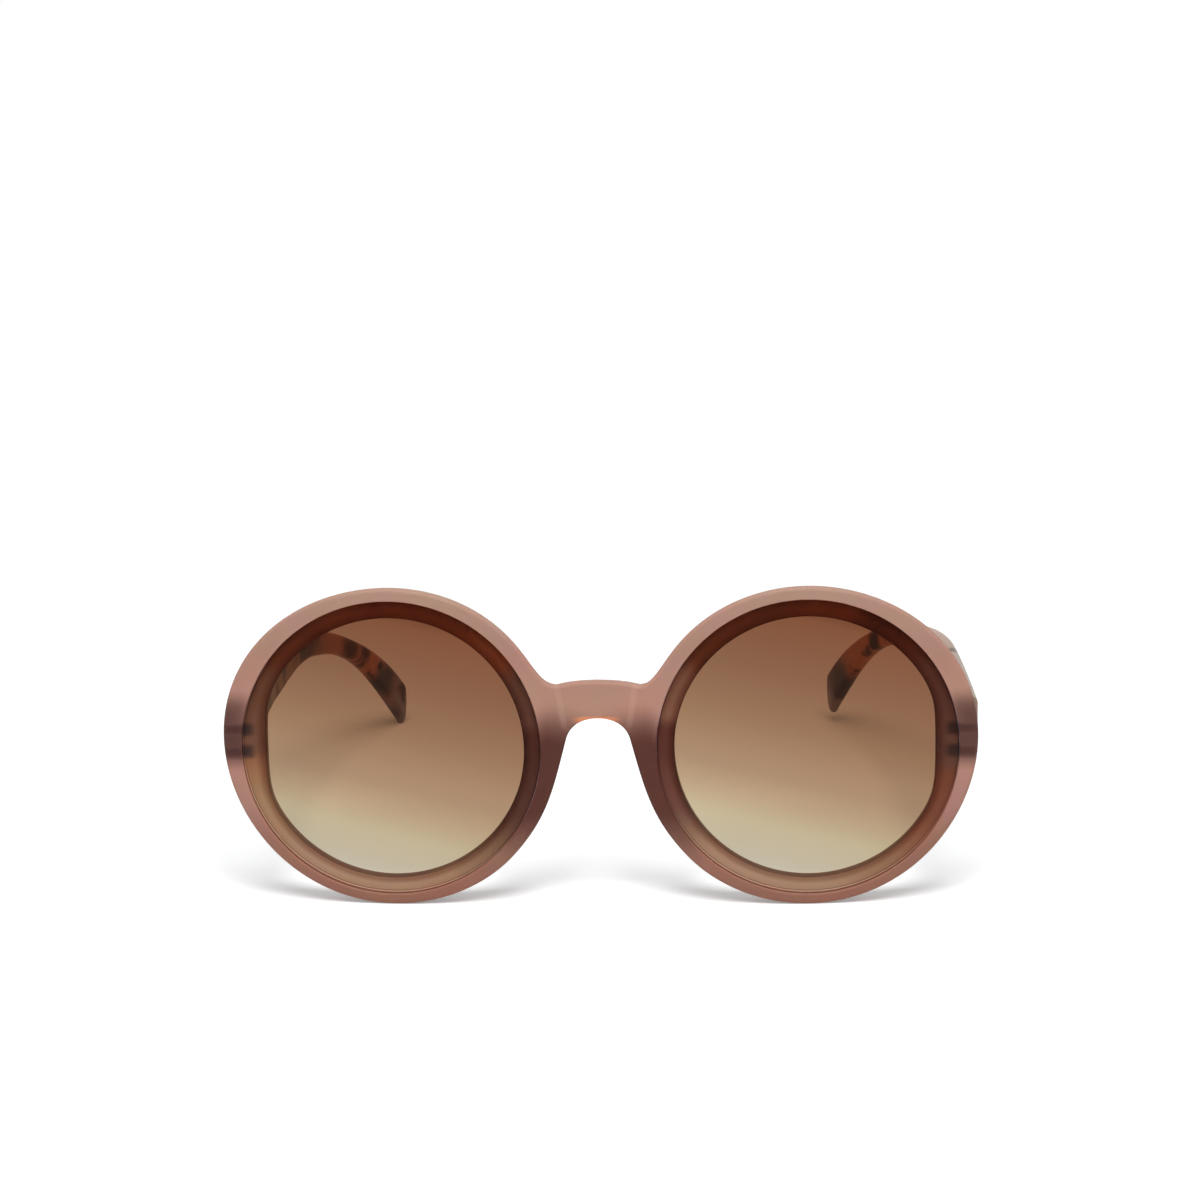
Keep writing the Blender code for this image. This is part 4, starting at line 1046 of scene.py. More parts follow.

# %% [markdown]
# ## Frosted rose plastic
# The front is injection-moulded plastic, tinted dusty rose, with a tumbled finish that leaves it
# frosted. Light enters, spreads a few millimetres and comes out again, so it looks soft. That is
# subsurface scattering. The colour is painted palest at the brow and darker towards the table, as
# painted shade for the light that falls from above. The frosting is far finer than a pixel, so it is
# drawn as a noise of a quarter of a millimetre with very little height.
#
# Whatever lies close behind the plastic keeps light from passing through it, so it shows as a
# blurred dark patch of painted shade: the nose pads, the temple's butt, the hinge leaf and its two
# feet. A volume could do that, but slowly and with much noise, so masks with soft rounded shapes
# paint that shade, one shape for each hidden thing. They work fully on faces that look ahead and
# less on those that look back. The camera looks down a little, so what lies behind the rim is seen a
# bit above its real height. Beside the bridge a narrow streak is painted paler, as painted light
# where thinner plastic lets more through, and the nose arch gets a painted orange glow of the light
# that passes through its thin edge.

# %% Masks for painted shade and light on the front
def soft_shape(tree, place, centre, half_size, lean_angle, blur):
    """1 inside a rounded shape on the front's face, easing to 0 outside it."""
    local = add_node(tree, "ShaderNodeMapping", {"vector_type": "TEXTURE"}, {
        "Vector": place,
        "Location": (centre[0], 0.0, centre[1]),
        "Rotation": (0.0, lean_angle, 0.0),
        "Scale": (half_size[0], 1.0, half_size[1]),
    }).outputs["Vector"]
    flat = add_node(tree, "ShaderNodeVectorMath", MULTIPLY, {0: local, 1: (1.0, 0.0, 1.0)}).outputs["Vector"]
    square = add_node(tree, "ShaderNodeVectorMath", MULTIPLY, {0: flat, 1: flat}).outputs["Vector"]
    reach = add_node(tree, "ShaderNodeVectorMath", LENGTH, {0: square}).outputs["Value"]
    return add_node(tree, "ShaderNodeMapRange", SMOOTH, {"Value": reach, **fade_over(blur)}).outputs["Result"]


def faded_shape(tree, place, height, shape):
    """A soft shape with its weight, which fades out downwards between two heights."""
    _, centre, half_size, lean_angle, blur, weight, fade_heights = shape
    mask = soft_shape(tree, place, centre, half_size, lean_angle, blur)
    fade = add_node(tree, "ShaderNodeMapRange", SMOOTH, {
        "Value": height,
        "From Min": fade_heights[0],
        "From Max": fade_heights[1],
        "To Max": weight,
    }).outputs["Result"]
    return add_node(tree, "ShaderNodeMath", MULTIPLY, {0: mask, 1: fade}).outputs[0]


def strongest(tree, place, height, shapes):
    """The strongest of several soft shapes."""
    result = 0.0
    for shape in shapes:
        mask = faded_shape(tree, place, height, shape)
        result = add_node(tree, "ShaderNodeMath", MAXIMUM, {0: result, 1: mask}).outputs[0]
    return result


print("a mask with a blur of 0.5 eases over", fade_over(0.5))

# %% Shapes of the painted shade behind the rim
FOOT_RISE = OUTER_KNUCKLE / 2 + KNUCKLE_GAP + MIDDLE_KNUCKLE / 2
FOOT_LOW = HINGE_HEIGHT - FOOT_RISE
FOOT_HIGH = HINGE_HEIGHT + FOOT_RISE
SEEN_RISE = 0.5 * MM
NO_FADE = (-2.0 * MM, -1.0 * MM)
PAD_FADE = (6.0 * MM, 19.0 * MM)
LEFT_PAD_FADE = (9.0 * MM, 20.0 * MM)
RIGHT_PAD_FADE = (1.0 * MM, 19.0 * MM)
# A shape says what it stands for, its centre and half size in X and Z, its lean, its blur, its
# weight and the two heights between which it fades out.
# Painted shade where the temple's butt, the hinge leaf and its feet keep light from passing through the rim.
RIM_SHADE_SHAPES = (
    ("butt", (71.5 * MM, HINGE_HEIGHT + 4.4 * MM), (4.6 * MM, 4.4 * MM), 0.0, 1.2, 0.85, NO_FADE),
    ("leaf", (70.5 * MM, HINGE_HEIGHT + SEEN_RISE), (4.8 * MM, 4.3 * MM), 0.0, 1.2, 0.9, NO_FADE),
    ("low foot", (70.0 * MM, FOOT_LOW + SEEN_RISE), (4.8 * MM, 1.7 * MM), 0.0, 1.3, 1.0, NO_FADE),
    ("high foot", (70.0 * MM, FOOT_HIGH + SEEN_RISE), (4.8 * MM, 1.7 * MM), 0.0, 1.3, 1.0, NO_FADE),
)
# Painted shade where the nose pad keeps light from passing through the rim.
PAD_SHADE_SHAPE = ("pad", (10.1 * MM, 21.0 * MM), (6.7 * MM, 16.0 * MM), -PAD_LEAN, 0.55, 1.0, PAD_FADE)
# A painted light streak where the bridge's plastic is thinner and lets more light through.
BRIDGE_LIGHT_STREAK = ("painted light where plastic is thinner", (6.8 * MM, 39.6 * MM), (0.6 * MM, 4.0 * MM), 0.15, 0.9, 0.15, NO_FADE)
# Painted shade of the hinge feet, shown on the flange.
FEET_ON_FLANGE = (
    ("low foot", (68.5 * MM, FOOT_LOW), (2.0 * MM, 1.25 * MM), 0.0, 1.0, 1.0, NO_FADE),
    ("high foot", (68.5 * MM, FOOT_HIGH), (2.0 * MM, 1.25 * MM), 0.0, 1.0, 1.0, NO_FADE),
)
print("things behind the rim:", [shape[0] for shape in (PAD_SHADE_SHAPE, *RIM_SHADE_SHAPES)])

# %% [markdown]
# ## Painted shades on the flange
# The flange is seen through the tinted lens and takes its light from behind, so each thing beside
# it gives it another shade, painted into its colour, and the two sides aren't alike because the
# light comes a little from one side. These painted shades aren't mirrored, and each has its own
# colour.

# %% Painted shades on the flange
FLANGE_PAINTED_SHADES = (
    ("#996c5e", ("arm above", (60.0 * MM, 50.0 * MM), (10.0 * MM, 9.0 * MM), 0.0, 0.6, 0.9, NO_FADE)),
    ("#996c5e", ("arm above", (-60.0 * MM, 47.0 * MM), (9.0 * MM, 11.0 * MM), 0.0, 0.7, 0.6, NO_FADE)),
    ("#ab7c66", ("brow", (24.0 * MM, 50.0 * MM), (15.0 * MM, 15.0 * MM), 0.0, 0.7, 0.8, NO_FADE)),
    ("#ab7c66", ("brow", (-50.0 * MM, 58.0 * MM), (10.0 * MM, 7.0 * MM), 0.0, 0.7, 0.6, NO_FADE)),
    ("#c69892", ("arm", (68.0 * MM, 24.0 * MM), (18.0 * MM, 19.0 * MM), 0.0, 0.9, 1.0, NO_FADE)),
    ("#ac97a2", ("butt", (67.0 * MM, 37.0 * MM), (8.0 * MM, 11.0 * MM), 0.0, 0.4, 1.0, NO_FADE)),
    ("#b89f9c", ("butt", (-67.0 * MM, 37.5 * MM), (8.0 * MM, 8.5 * MM), 0.0, 0.5, 1.0, NO_FADE)),
    ("#dbc2c9", ("bridge", (9.0 * MM, 36.5 * MM), (11.0 * MM, 11.5 * MM), 0.0, 0.35, 1.0, NO_FADE)),
    ("#b7a8b5", ("bridge", (-9.0 * MM, 36.0 * MM), (11.0 * MM, 10.5 * MM), 0.0, 0.35, 1.0, NO_FADE)),
    ("#9b6e78", ("pad", (9.0 * MM, 15.0 * MM), (19.0 * MM, 21.0 * MM), 0.0, 0.15, 1.0, LEFT_PAD_FADE)),
    ("#90747e", ("pad", (-9.0 * MM, 15.0 * MM), (19.0 * MM, 19.5 * MM), 0.0, 0.15, 1.0, RIGHT_PAD_FADE)),
)
print("shades on the flange:", len(FLANGE_PAINTED_SHADES))

# %% Colours of the front
FRONT_TOP = 62.0 * MM
# Darker towards the table: painted shade for the light that falls from above.
RIM_SHADED_TINTS = (
    (0.0, "#885b49"),
    (0.2, "#8f6554"),
    (0.32, "#a0766a"),
    (0.45, "#a87b6d"),
    (0.65, "#a97f6f"),
    (0.8, "#a37c6d"),
    (1.0, "#a58473"),
)
# The flange's colours are painted light, for the light it takes through the eye and from behind.
FLANGE_PAINTED_LIGHT_TINTS = ((0.0, "#e8c6b4"), (0.35, "#e0c4b6"), (0.6, "#d6a491"), (1.0, "#dca080"))
INWARD_TINTS = ((0.0, "#ffffff"), (0.5, "#ffffff"), (0.8, "#cdbcb7"), (0.93, "#b8a59f"), (1.0, "#7a625a"))
# Colours of the painted shade behind the rim and on the flange, and of the painted light streak.
PAD_SHADE = "#4e2114"
HINGE_SHADE = "#3a0d04"
FOOT_SHADE = "#696276"
STREAK_LIGHT_TINT = "#cdaa9b"
AHEAD_RANGE = (-0.3, 0.5)
BACK_WEIGHT = 0.3


def height_ramp(tree, height, tints):
    """Colours that change from the table up."""
    share = add_node(tree, "ShaderNodeMapRange", None, {"Value": height, "From Max": FRONT_TOP})
    return fill_ramp(add_node(tree, "ShaderNodeValToRGB", None, {"Fac": share.outputs["Result"]}), tints)


def facing_ahead(tree):
    """1 on faces that look ahead, less on those that look back."""
    normal = add_node(tree, "ShaderNodeNewGeometry").outputs["True Normal"]
    parts = add_node(tree, "ShaderNodeSeparateXYZ", None, {"Vector": normal})
    return add_node(tree, "ShaderNodeMapRange", None, {
        "Value": parts.outputs["Y"],
        "From Min": AHEAD_RANGE[0],
        "From Max": AHEAD_RANGE[1],
        "To Min": 1.0,
        "To Max": BACK_WEIGHT,
    }).outputs["Result"]


def rim_colour(tree, place, height):
    """Painted shade by height, painted shade where something lies close behind, and a painted light streak by
    the bridge.
    """
    ahead = facing_ahead(tree)
    pad = faded_shape(tree, place, height, PAD_SHADE_SHAPE)
    hinge = strongest(tree, place, height, RIM_SHADE_SHAPES)
    pad_shade_shown = add_node(tree, "ShaderNodeMath", MULTIPLY, {0: pad, 1: ahead}).outputs[0]
    hinge_shade_shown = add_node(tree, "ShaderNodeMath", MULTIPLY, {0: hinge, 1: ahead}).outputs[0]
    light_streak = faded_shape(tree, place, height, BRIDGE_LIGHT_STREAK)
    layers = [(pad_shade_shown, PAD_SHADE), (hinge_shade_shown, HINGE_SHADE), (light_streak, STREAK_LIGHT_TINT)]
    return lay_over(tree, height_ramp(tree, height, RIM_SHADED_TINTS), layers)


def flange_colour(tree, place, mirrored, height):
    """The colour by height, painted as light, with the painted shades of what lies behind each side, darker
    inward.
    """
    layers = [(faded_shape(tree, place, height, shape), colour) for colour, shape in FLANGE_PAINTED_SHADES]
    layers.append((strongest(tree, mirrored, height, FEET_ON_FLANGE), FOOT_SHADE))
    tint = lay_over(tree, height_ramp(tree, height, FLANGE_PAINTED_LIGHT_TINTS), layers)
    share = add_node(tree, "ShaderNodeAttribute", {"attribute_name": "inward"}).outputs["Fac"]
    darkening = fill_ramp(add_node(tree, "ShaderNodeValToRGB", None, {"Fac": share}), INWARD_TINTS)
    return add_node(tree, "ShaderNodeMix", {"data_type": "RGBA", "blend_type": "MULTIPLY"}, {
        "Factor": 1.0,
        6: tint,
        7: darkening,
    }).outputs[2]


print("rim tints:", len(RIM_SHADED_TINTS), "flange tints:", len(FLANGE_PAINTED_LIGHT_TINTS))

# %% Material of the front
FROST_GRAIN = 0.25 * MM
FROST_HEIGHT = 0.03 * MM
CLOUD_SIZE = 9.0 * MM
SCATTER_REACH = 1.2 * MM
CLOUD_WEIGHT = 0.12
PAINTED_GLOW_TINT = "#da8b5e"
# The centre, half size, lean and blur of the painted glow of light through the thin nose arch.
ARCH_PAINTED_GLOW = ((0.0, 36.8 * MM), (3.6 * MM, 0.7 * MM), 0.0, 0.9)


def front_colour(tree, place):
    """Rim and flange colours, a painted glow of light through the nose arch and faint clouds in the plastic.
    """
    mirrored = add_node(tree, "ShaderNodeVectorMath", ABSOLUTE, {0: place}).outputs["Vector"]
    height = add_node(tree, "ShaderNodeSeparateXYZ", None, {"Vector": place}).outputs["Z"]
    tint = add_node(tree, "ShaderNodeMix", COLOURS, {
        "Factor": add_node(tree, "ShaderNodeAttribute", {"attribute_name": "behind_lens"}).outputs["Fac"],
        6: rim_colour(tree, mirrored, height),
        7: flange_colour(tree, place, mirrored, height),
    }).outputs[2]
    painted_glow = soft_shape(tree, mirrored, *ARCH_PAINTED_GLOW)
    clouds = add_node(tree, "ShaderNodeTexNoise", None, {
        "Vector": place,
        "Scale": 1 / CLOUD_SIZE,
        "Detail": 2.0,
    })
    return add_node(tree, "ShaderNodeMix", {"data_type": "RGBA", "blend_type": "SOFT_LIGHT"}, {
        "Factor": CLOUD_WEIGHT,
        6: lay_over(tree, tint, [(painted_glow, PAINTED_GLOW_TINT)]),
        7: clouds.outputs["Color"],
    }).outputs[2]


def frosted_plastic():
    material = bpy.data.materials.new("frosted_rose_nylon")
    tree, output = start_material(material)
    place = add_node(tree, "ShaderNodeTexCoord").outputs["Object"]
    grain = add_node(tree, "ShaderNodeTexNoise", None, {
        "Vector": place,
        "Scale": 1 / FROST_GRAIN,
        "Detail": 2.0,
    })
    bump = add_node(tree, "ShaderNodeBump", None, {
        "Strength": 0.25,
        "Distance": FROST_HEIGHT,
        "Height": grain.outputs["Fac"],
    })
    shader = add_node(tree, "ShaderNodeBsdfPrincipled", None, {
        "Base Color": front_colour(tree, place),
        "Roughness": 0.55,
        "IOR": 1.5,
        "Specular IOR Level": 0.3,
        "Subsurface Weight": 0.6,
        "Subsurface Radius": (1.0, 0.6, 0.45),
        "Subsurface Scale": SCATTER_REACH,
        "Normal": bump.outputs["Normal"],
    })
    tree.links.new(shader.outputs["BSDF"], output.inputs["Surface"])
    return material


dress(front, frosted_plastic())
print("front:", front.data.materials[0].name)

# %% [markdown]
# ## Gradient lens
# The lens is clear nylon dipped in a brown bath, longest at the top, so the tint fades from
# chestnut to pale khaki. The lines of even tint slope, darker towards +X in each lens, and that slope
# is painted shade of the shadows seen through the lens. Light passes straight through a lens this
# thin, so the body is a coloured transparent shader. A ray crosses two faces, so each face holds the
# square root of the tint. A glass shader would bend the light and leave a dark shadow on the flange,
# which a thin lens doesn't. The shine comes from a coated face that hardly reflects straight on and
# strongly at a glancing view, which a low index does. A thin dark line just inside the edge is
# painted shade where the lens meets the rim. Light on its way to the flange passes freely. The tint
# acts only on what is looked at.

# %% Colours of the lenses
LENS_TINTS = (
    (0.0, "#c0b9a7"),
    (0.05, "#baaf9a"),
    (0.17, "#b9aa8c"),
    (0.25, "#af9779"),
    (0.33, "#a18469"),
    (0.41, "#9c7c61"),
    (0.51, "#926f54"),
    (0.7, "#845d46"),
    (0.88, "#805138"),
    (0.95, "#673b24"),
)
# A thin dark line just inside the lens's edge: painted shade where the lens meets the rim.
EDGE_SHADE_TINT = "#5a2c1c"
EDGE_SHADE_WEIGHT = 0.35
# These reaches are shares of the lens's radius.
EDGE_SHADE_LINE = (0.989, 0.995)
WALL_REACH = 0.9995
# The slope of the lines of even tint is painted shade of the shadows seen through the lens.
SEEN_SHADE_SLOPE = 0.25
DIP_DROP = 2.3 * MM


def half_tint(hex_colour):
    """The tint of one face of the lens: two faces together give the full tint."""
    return [math.sqrt(value) for value in linear(hex_colour)]


def looked_at(tree):
    """1 for rays that start at the eye, also by way of a reflection or through clear plastic."""
    rays = add_node(tree, "ShaderNodeLightPath").outputs
    seen = rays["Is Camera Ray"]
    for way in ("Is Glossy Ray", "Is Transmission Ray"):
        seen = add_node(tree, "ShaderNodeMath", MAXIMUM, {0: seen, 1: rays[way]}).outputs[0]
    return seen


def dip_colour(tree, place):
    """The colour by depth in the bath. The lines of even tint tilt about the middle of each lens, as painted
    shade of the shadows seen through it.
    """
    slanted = add_node(tree, "ShaderNodeVectorMath", {"operation": "DOT_PRODUCT"}, {
        0: place,
        1: (SEEN_SHADE_SLOPE, 0.0, 1.0),
    }).outputs["Value"]
    across = add_node(tree, "ShaderNodeSeparateXYZ", None, {"Vector": place}).outputs["X"]
    side = add_node(tree, "ShaderNodeMath", {"operation": "SIGN"}, {0: across}).outputs[0]
    middle = add_node(tree, "ShaderNodeMath", MULTIPLY, {0: side, 1: SEEN_SHADE_SLOPE * LENS_X}).outputs[0]
    low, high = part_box("lens_left")
    share = add_node(tree, "ShaderNodeMapRange", None, {
        "Value": add_node(tree, "ShaderNodeMath", SUBTRACT, {0: slanted, 1: middle}).outputs[0],
        "From Min": low.z + DIP_DROP,
        "From Max": high.z + DIP_DROP,
    }).outputs["Result"]
    return fill_ramp(add_node(tree, "ShaderNodeValToRGB", None, {"Fac": share}), LENS_TINTS, half_tint)


print("lens tints:", [colour for _, colour in LENS_TINTS])

# %% Material of the lenses
def gradient_lens(material):
    tree, output = start_material(material)
    place = add_node(tree, "ShaderNodeTexCoord").outputs["Object"]
    reach = add_node(tree, "ShaderNodeAttribute", {"attribute_name": "reach"}).outputs["Fac"]
    on_face = add_node(tree, "ShaderNodeMath", LESS_THAN, {0: reach, 1: WALL_REACH}).outputs[0]
    # Painted shade in a thin line just inside the edge, where the lens meets the rim.
    line = add_node(tree, "ShaderNodeMapRange", None, {
        "Value": reach,
        "From Min": EDGE_SHADE_LINE[0],
        "From Max": EDGE_SHADE_LINE[1],
        "To Max": EDGE_SHADE_WEIGHT,
    }).outputs["Result"]
    tint = add_node(tree, "ShaderNodeMix", COLOURS, {
        "Factor": add_node(tree, "ShaderNodeMath", MULTIPLY, {0: looked_at(tree), 1: on_face}).outputs[0],
        6: linear("#ffffff"),
        7: lay_over(tree, dip_colour(tree, place), [(line, EDGE_SHADE_TINT)]),
    }).outputs[2]
    glance = add_node(tree, "ShaderNodeFresnel", None, {"IOR": 1.12}).outputs["Fac"]
    inside = add_node(tree, "ShaderNodeNewGeometry").outputs["Backfacing"]
    outside = add_node(tree, "ShaderNodeMath", SUBTRACT, {0: 1.0, 1: inside}).outputs[0]
    outer_face = add_node(tree, "ShaderNodeMath", MULTIPLY, {0: outside, 1: on_face}).outputs[0]
    mixed = add_node(tree, "ShaderNodeMixShader", None, {
        "Fac": add_node(tree, "ShaderNodeMath", MULTIPLY, {0: glance, 1: outer_face}).outputs[0],
        1: add_node(tree, "ShaderNodeBsdfTransparent", None, {"Color": tint}).outputs["BSDF"],
        2: add_node(tree, "ShaderNodeBsdfGlossy", None, {"Roughness": 0.03}).outputs["BSDF"],
    })
    tree.links.new(mixed.outputs["Shader"], output.inputs["Surface"])


gradient_lens(lens_material)
print("lens material:", lens_material.name)

# %% [markdown]
# ## Milky tortoise acetate
# The temples are cut from a slab of cellulose acetate in which cream, amber and dark brown chips
# were pressed together, so the patches run through the whole thickness. The slab is mostly cream at
# the butt, amber over the ear and grey at the tip. A ramp along the temple gives that order, and its
# cream at the butt is painted darker, as painted shade. A painted picture would need a seam
# somewhere, and a pattern in space needs none. A three-dimensional noise scatters small dark chips,
# and the few big chips that tell this pair from another are set one by one, with a second noise to
# make their borders ragged. The surface is tumbled and polished, so it has a soft gloss.

# %% Colours and chips of the temples
# Along the temple; the darker cream at the butt is painted shade.
SLAB_AND_SHADE_TINTS = (
    (0.0, "#94816f"),
    (0.26, "#978472"),
    (0.36, "#a07f68"),
    (0.46, "#9f745b"),
    (0.6, "#aa755d"),
    (0.7, "#c98766"),
    (0.84, "#c98766"),
    (0.9, "#9f7c72"),
    (0.95, "#938790"),
    (1.0, "#9c9298"),
)
BLACK = "#1e0f0a"
UMBER = "#4c2e13"
SMALL_CHIP = "#432b1a"
SLATE = "#4a4b53"
PRESSED_CHIPS = (
    (UMBER, (-65.5 * MM, 13.5 * MM, 32.0 * MM), (4.6 * MM, 4.0 * MM), 0.8),
    (BLACK, (-66.6 * MM, 8.4 * MM, 31.6 * MM), (2.3 * MM, 2.4 * MM), 0.6),
    (UMBER, (-60.0 * MM, 37.5 * MM, 25.0 * MM), (4.6 * MM, 3.4 * MM), 0.7),
    (UMBER, (-58.0 * MM, 45.0 * MM, 22.0 * MM), (2.2 * MM, 2.6 * MM), 0.7),
    (SLATE, (-54.7 * MM, 54.2 * MM, 12.8 * MM), (5.6 * MM, 4.2 * MM), 0.6),
    (BLACK, (-55.6 * MM, 52.6 * MM, 16.8 * MM), (1.5 * MM, 1.0 * MM), 0.6),
    (SLATE, (-53.0 * MM, 60.0 * MM, 2.6 * MM), (3.4 * MM, 2.6 * MM), 0.7),
    (SLATE, (-68.3 * MM, -7.4 * MM, 31.9 * MM), (2.6 * MM, 2.2 * MM), 0.6),
    (SLATE, (-68.6 * MM, -27.2 * MM, 30.2 * MM), (3.0 * MM, 2.4 * MM), 0.6),
    (BLACK, (54.1 * MM, 37.7 * MM, 25.8 * MM), (2.7 * MM, 3.2 * MM), 0.5),
    (SLATE, (47.5 * MM, 58.0 * MM, 11.5 * MM), (6.0 * MM, 4.6 * MM), 0.6),
    (UMBER, (69.4 * MM, -19.0 * MM, 38.2 * MM), (1.6 * MM, 1.6 * MM), 0.7),
)
CHIP_DEPTH = 6.0 * MM
print("chips set one by one:", len(PRESSED_CHIPS))

# %% Material of the temples
CHIP_SIZE = 5.5 * MM
DARK_CHIPS = (0.6, 0.74)
DARK_CHIP_WEIGHT = 0.9
RAGGED_SIZE = 3.0 * MM
RAGGED_REACH = 1.6 * MM
RIPPLE_HEIGHT = 0.05 * MM
SLAB_SCATTER_REACH = 1.0 * MM


def chip(tree, place, centre, half_size, blur):
    """1 inside one pressed chip, which goes through the whole thickness of the temple."""
    local = add_node(tree, "ShaderNodeMapping", {"vector_type": "TEXTURE"}, {
        "Vector": place,
        "Location": centre,
        "Scale": (CHIP_DEPTH, *half_size),
    }).outputs["Vector"]
    reach = add_node(tree, "ShaderNodeVectorMath", LENGTH, {0: local}).outputs["Value"]
    return add_node(tree, "ShaderNodeMapRange", SMOOTH, {"Value": reach, **fade_over(blur)}).outputs["Result"]


def ragged_place(tree, place):
    """The place moved to and fro by a noise, for ragged borders."""
    wander = add_node(tree, "ShaderNodeTexNoise", None, {
        "Vector": place,
        "Scale": 1 / RAGGED_SIZE,
        "Detail": 2.0,
    }).outputs["Color"]
    centred = add_node(tree, "ShaderNodeVectorMath", SUBTRACT, {0: wander, 1: (0.5, 0.5, 0.5)})
    shift = add_node(tree, "ShaderNodeVectorMath", SCALE, {
        0: centred.outputs["Vector"],
        "Scale": 2 * RAGGED_REACH,
    }).outputs["Vector"]
    moved = add_node(tree, "ShaderNodeVectorMath", {"operation": "ADD"}, {0: place, 1: shift})
    return moved.outputs["Vector"]


def slab_colour(tree, place, chips):
    """The slab's colour along the temple with painted shade at the butt, the small chips and the pressed
    ones.
    """
    along = add_node(tree, "ShaderNodeAttribute", {"attribute_name": "along"}).outputs["Fac"]
    dark = add_node(tree, "ShaderNodeMapRange", SMOOTH, {
        "Value": chips,
        "From Min": DARK_CHIPS[0],
        "From Max": DARK_CHIPS[1],
        "To Max": DARK_CHIP_WEIGHT,
    }).outputs["Result"]
    ragged = ragged_place(tree, place)
    layers = [(dark, SMALL_CHIP)]
    layers += [(chip(tree, ragged, *sizes), colour) for colour, *sizes in PRESSED_CHIPS]
    slab = fill_ramp(add_node(tree, "ShaderNodeValToRGB", None, {"Fac": along}), SLAB_AND_SHADE_TINTS)
    return lay_over(tree, slab, layers)


def tortoise_acetate():
    material = bpy.data.materials.new("milky_tortoise_acetate")
    tree, output = start_material(material)
    place = add_node(tree, "ShaderNodeTexCoord").outputs["Object"]
    chips = add_node(tree, "ShaderNodeTexNoise", None, {
        "Vector": place,
        "Scale": 1 / CHIP_SIZE,
        "Detail": 1.0,
        "Distortion": 0.4,
    }).outputs["Fac"]
    ripple = add_node(tree, "ShaderNodeBump", None, {
        "Strength": 0.05,
        "Distance": RIPPLE_HEIGHT,
        "Height": chips,
    })
    shader = add_node(tree, "ShaderNodeBsdfPrincipled", None, {
        "Base Color": slab_colour(tree, place, chips),
        "Roughness": 0.3,
        "IOR": 1.48,
        "Specular IOR Level": 0.15,
        "Subsurface Weight": 0.25,
        "Subsurface Radius": (1.0, 0.7, 0.5),
        "Subsurface Scale": SLAB_SCATTER_REACH,
        "Coat Weight": 0.04,
        "Coat Roughness": 0.1,
        "Normal": ripple.outputs["Normal"],
    })
    tree.links.new(shader.outputs["BSDF"], output.inputs["Surface"])
    return material


acetate = tortoise_acetate()
for temple in temples.values():
    dress(temple, acetate)
print("temples:", acetate.name)

# %% [markdown]
# ## Hinge metals
# The leaves are stamped nickel silver with a dark gunmetal plating, the screws are bright turned
# steel and the wire cores are drawn steel. An even metal would look like paint. Fine scratches
# change how metal shines more than its colour, so a stretched noise drives the roughness and only
# slightly the colour. It is a fifth of a millimetre coarse, because real scratches are too fine to
# show.

# %% Materials of the hardware
SCRATCH_SIZE = 0.2 * MM
SCRATCH_STRETCH = (1.0, 0.15, 1.0)


def metal(name, colour, worn_colour, smooth, rough):
    material = bpy.data.materials.new(name)
    tree, output = start_material(material)
    place = add_node(tree, "ShaderNodeTexCoord").outputs["Object"]
    stretched = add_node(tree, "ShaderNodeMapping", None, {"Vector": place, "Scale": SCRATCH_STRETCH})
    scratches = add_node(tree, "ShaderNodeTexNoise", None, {
        "Vector": stretched.outputs["Vector"],
        "Scale": 1 / SCRATCH_SIZE,
        "Detail": 3.0,
    }).outputs["Fac"]
    dullness = add_node(tree, "ShaderNodeMapRange", None, {
        "Value": scratches,
        "To Min": smooth,
        "To Max": rough,
    })
    shader = add_node(tree, "ShaderNodeBsdfPrincipled", None, {
        "Base Color": lay_over(tree, linear(colour), [(scratches, worn_colour)]),
        "Metallic": 1.0,
        "Roughness": dullness.outputs["Result"],
    })
    tree.links.new(shader.outputs["BSDF"], output.inputs["Surface"])
    return material


metals = {
    "hinge_front_leaf": metal("gunmetal_plated_leaf", "#4a423e", "#5b524d", smooth=0.25, rough=0.45),
    "hinge_screw": metal("turned_screw_steel", "#b4b0ac", "#c6c3bf", smooth=0.15, rough=0.35),
    "temple_core": metal("drawn_core_wire_steel", "#b9b6b2", "#c9c6c2", smooth=0.2, rough=0.4),
}
metals["hinge_temple_leaf"] = metals["hinge_front_leaf"]
for node, piece in hardware.items():
    dress(piece, metals[node.rsplit("_", 1)[0]])
print("metals:", sorted({material.name for material in metals.values()}))

# %% [markdown]
# ## Table and surroundings
# The picture was taken on a white sweep under broad soft light from above. The floor is a white
# diffuse sheet that fades into the white background away from the object, so that only the shadow
# near the object shows. It is also lit a little from below, as a product table is, which keeps the
# shadow pale and grey. The world is white where the camera, a reflection or a view through the lens
# meets it, and dimmer as a lamp, so that the softbox above can shape the object.

# %% Floor
FLOOR_SIZE = 3.0
SHADOW_REACH = (0.12, 0.28)
LIGHT_TABLE = 0.26


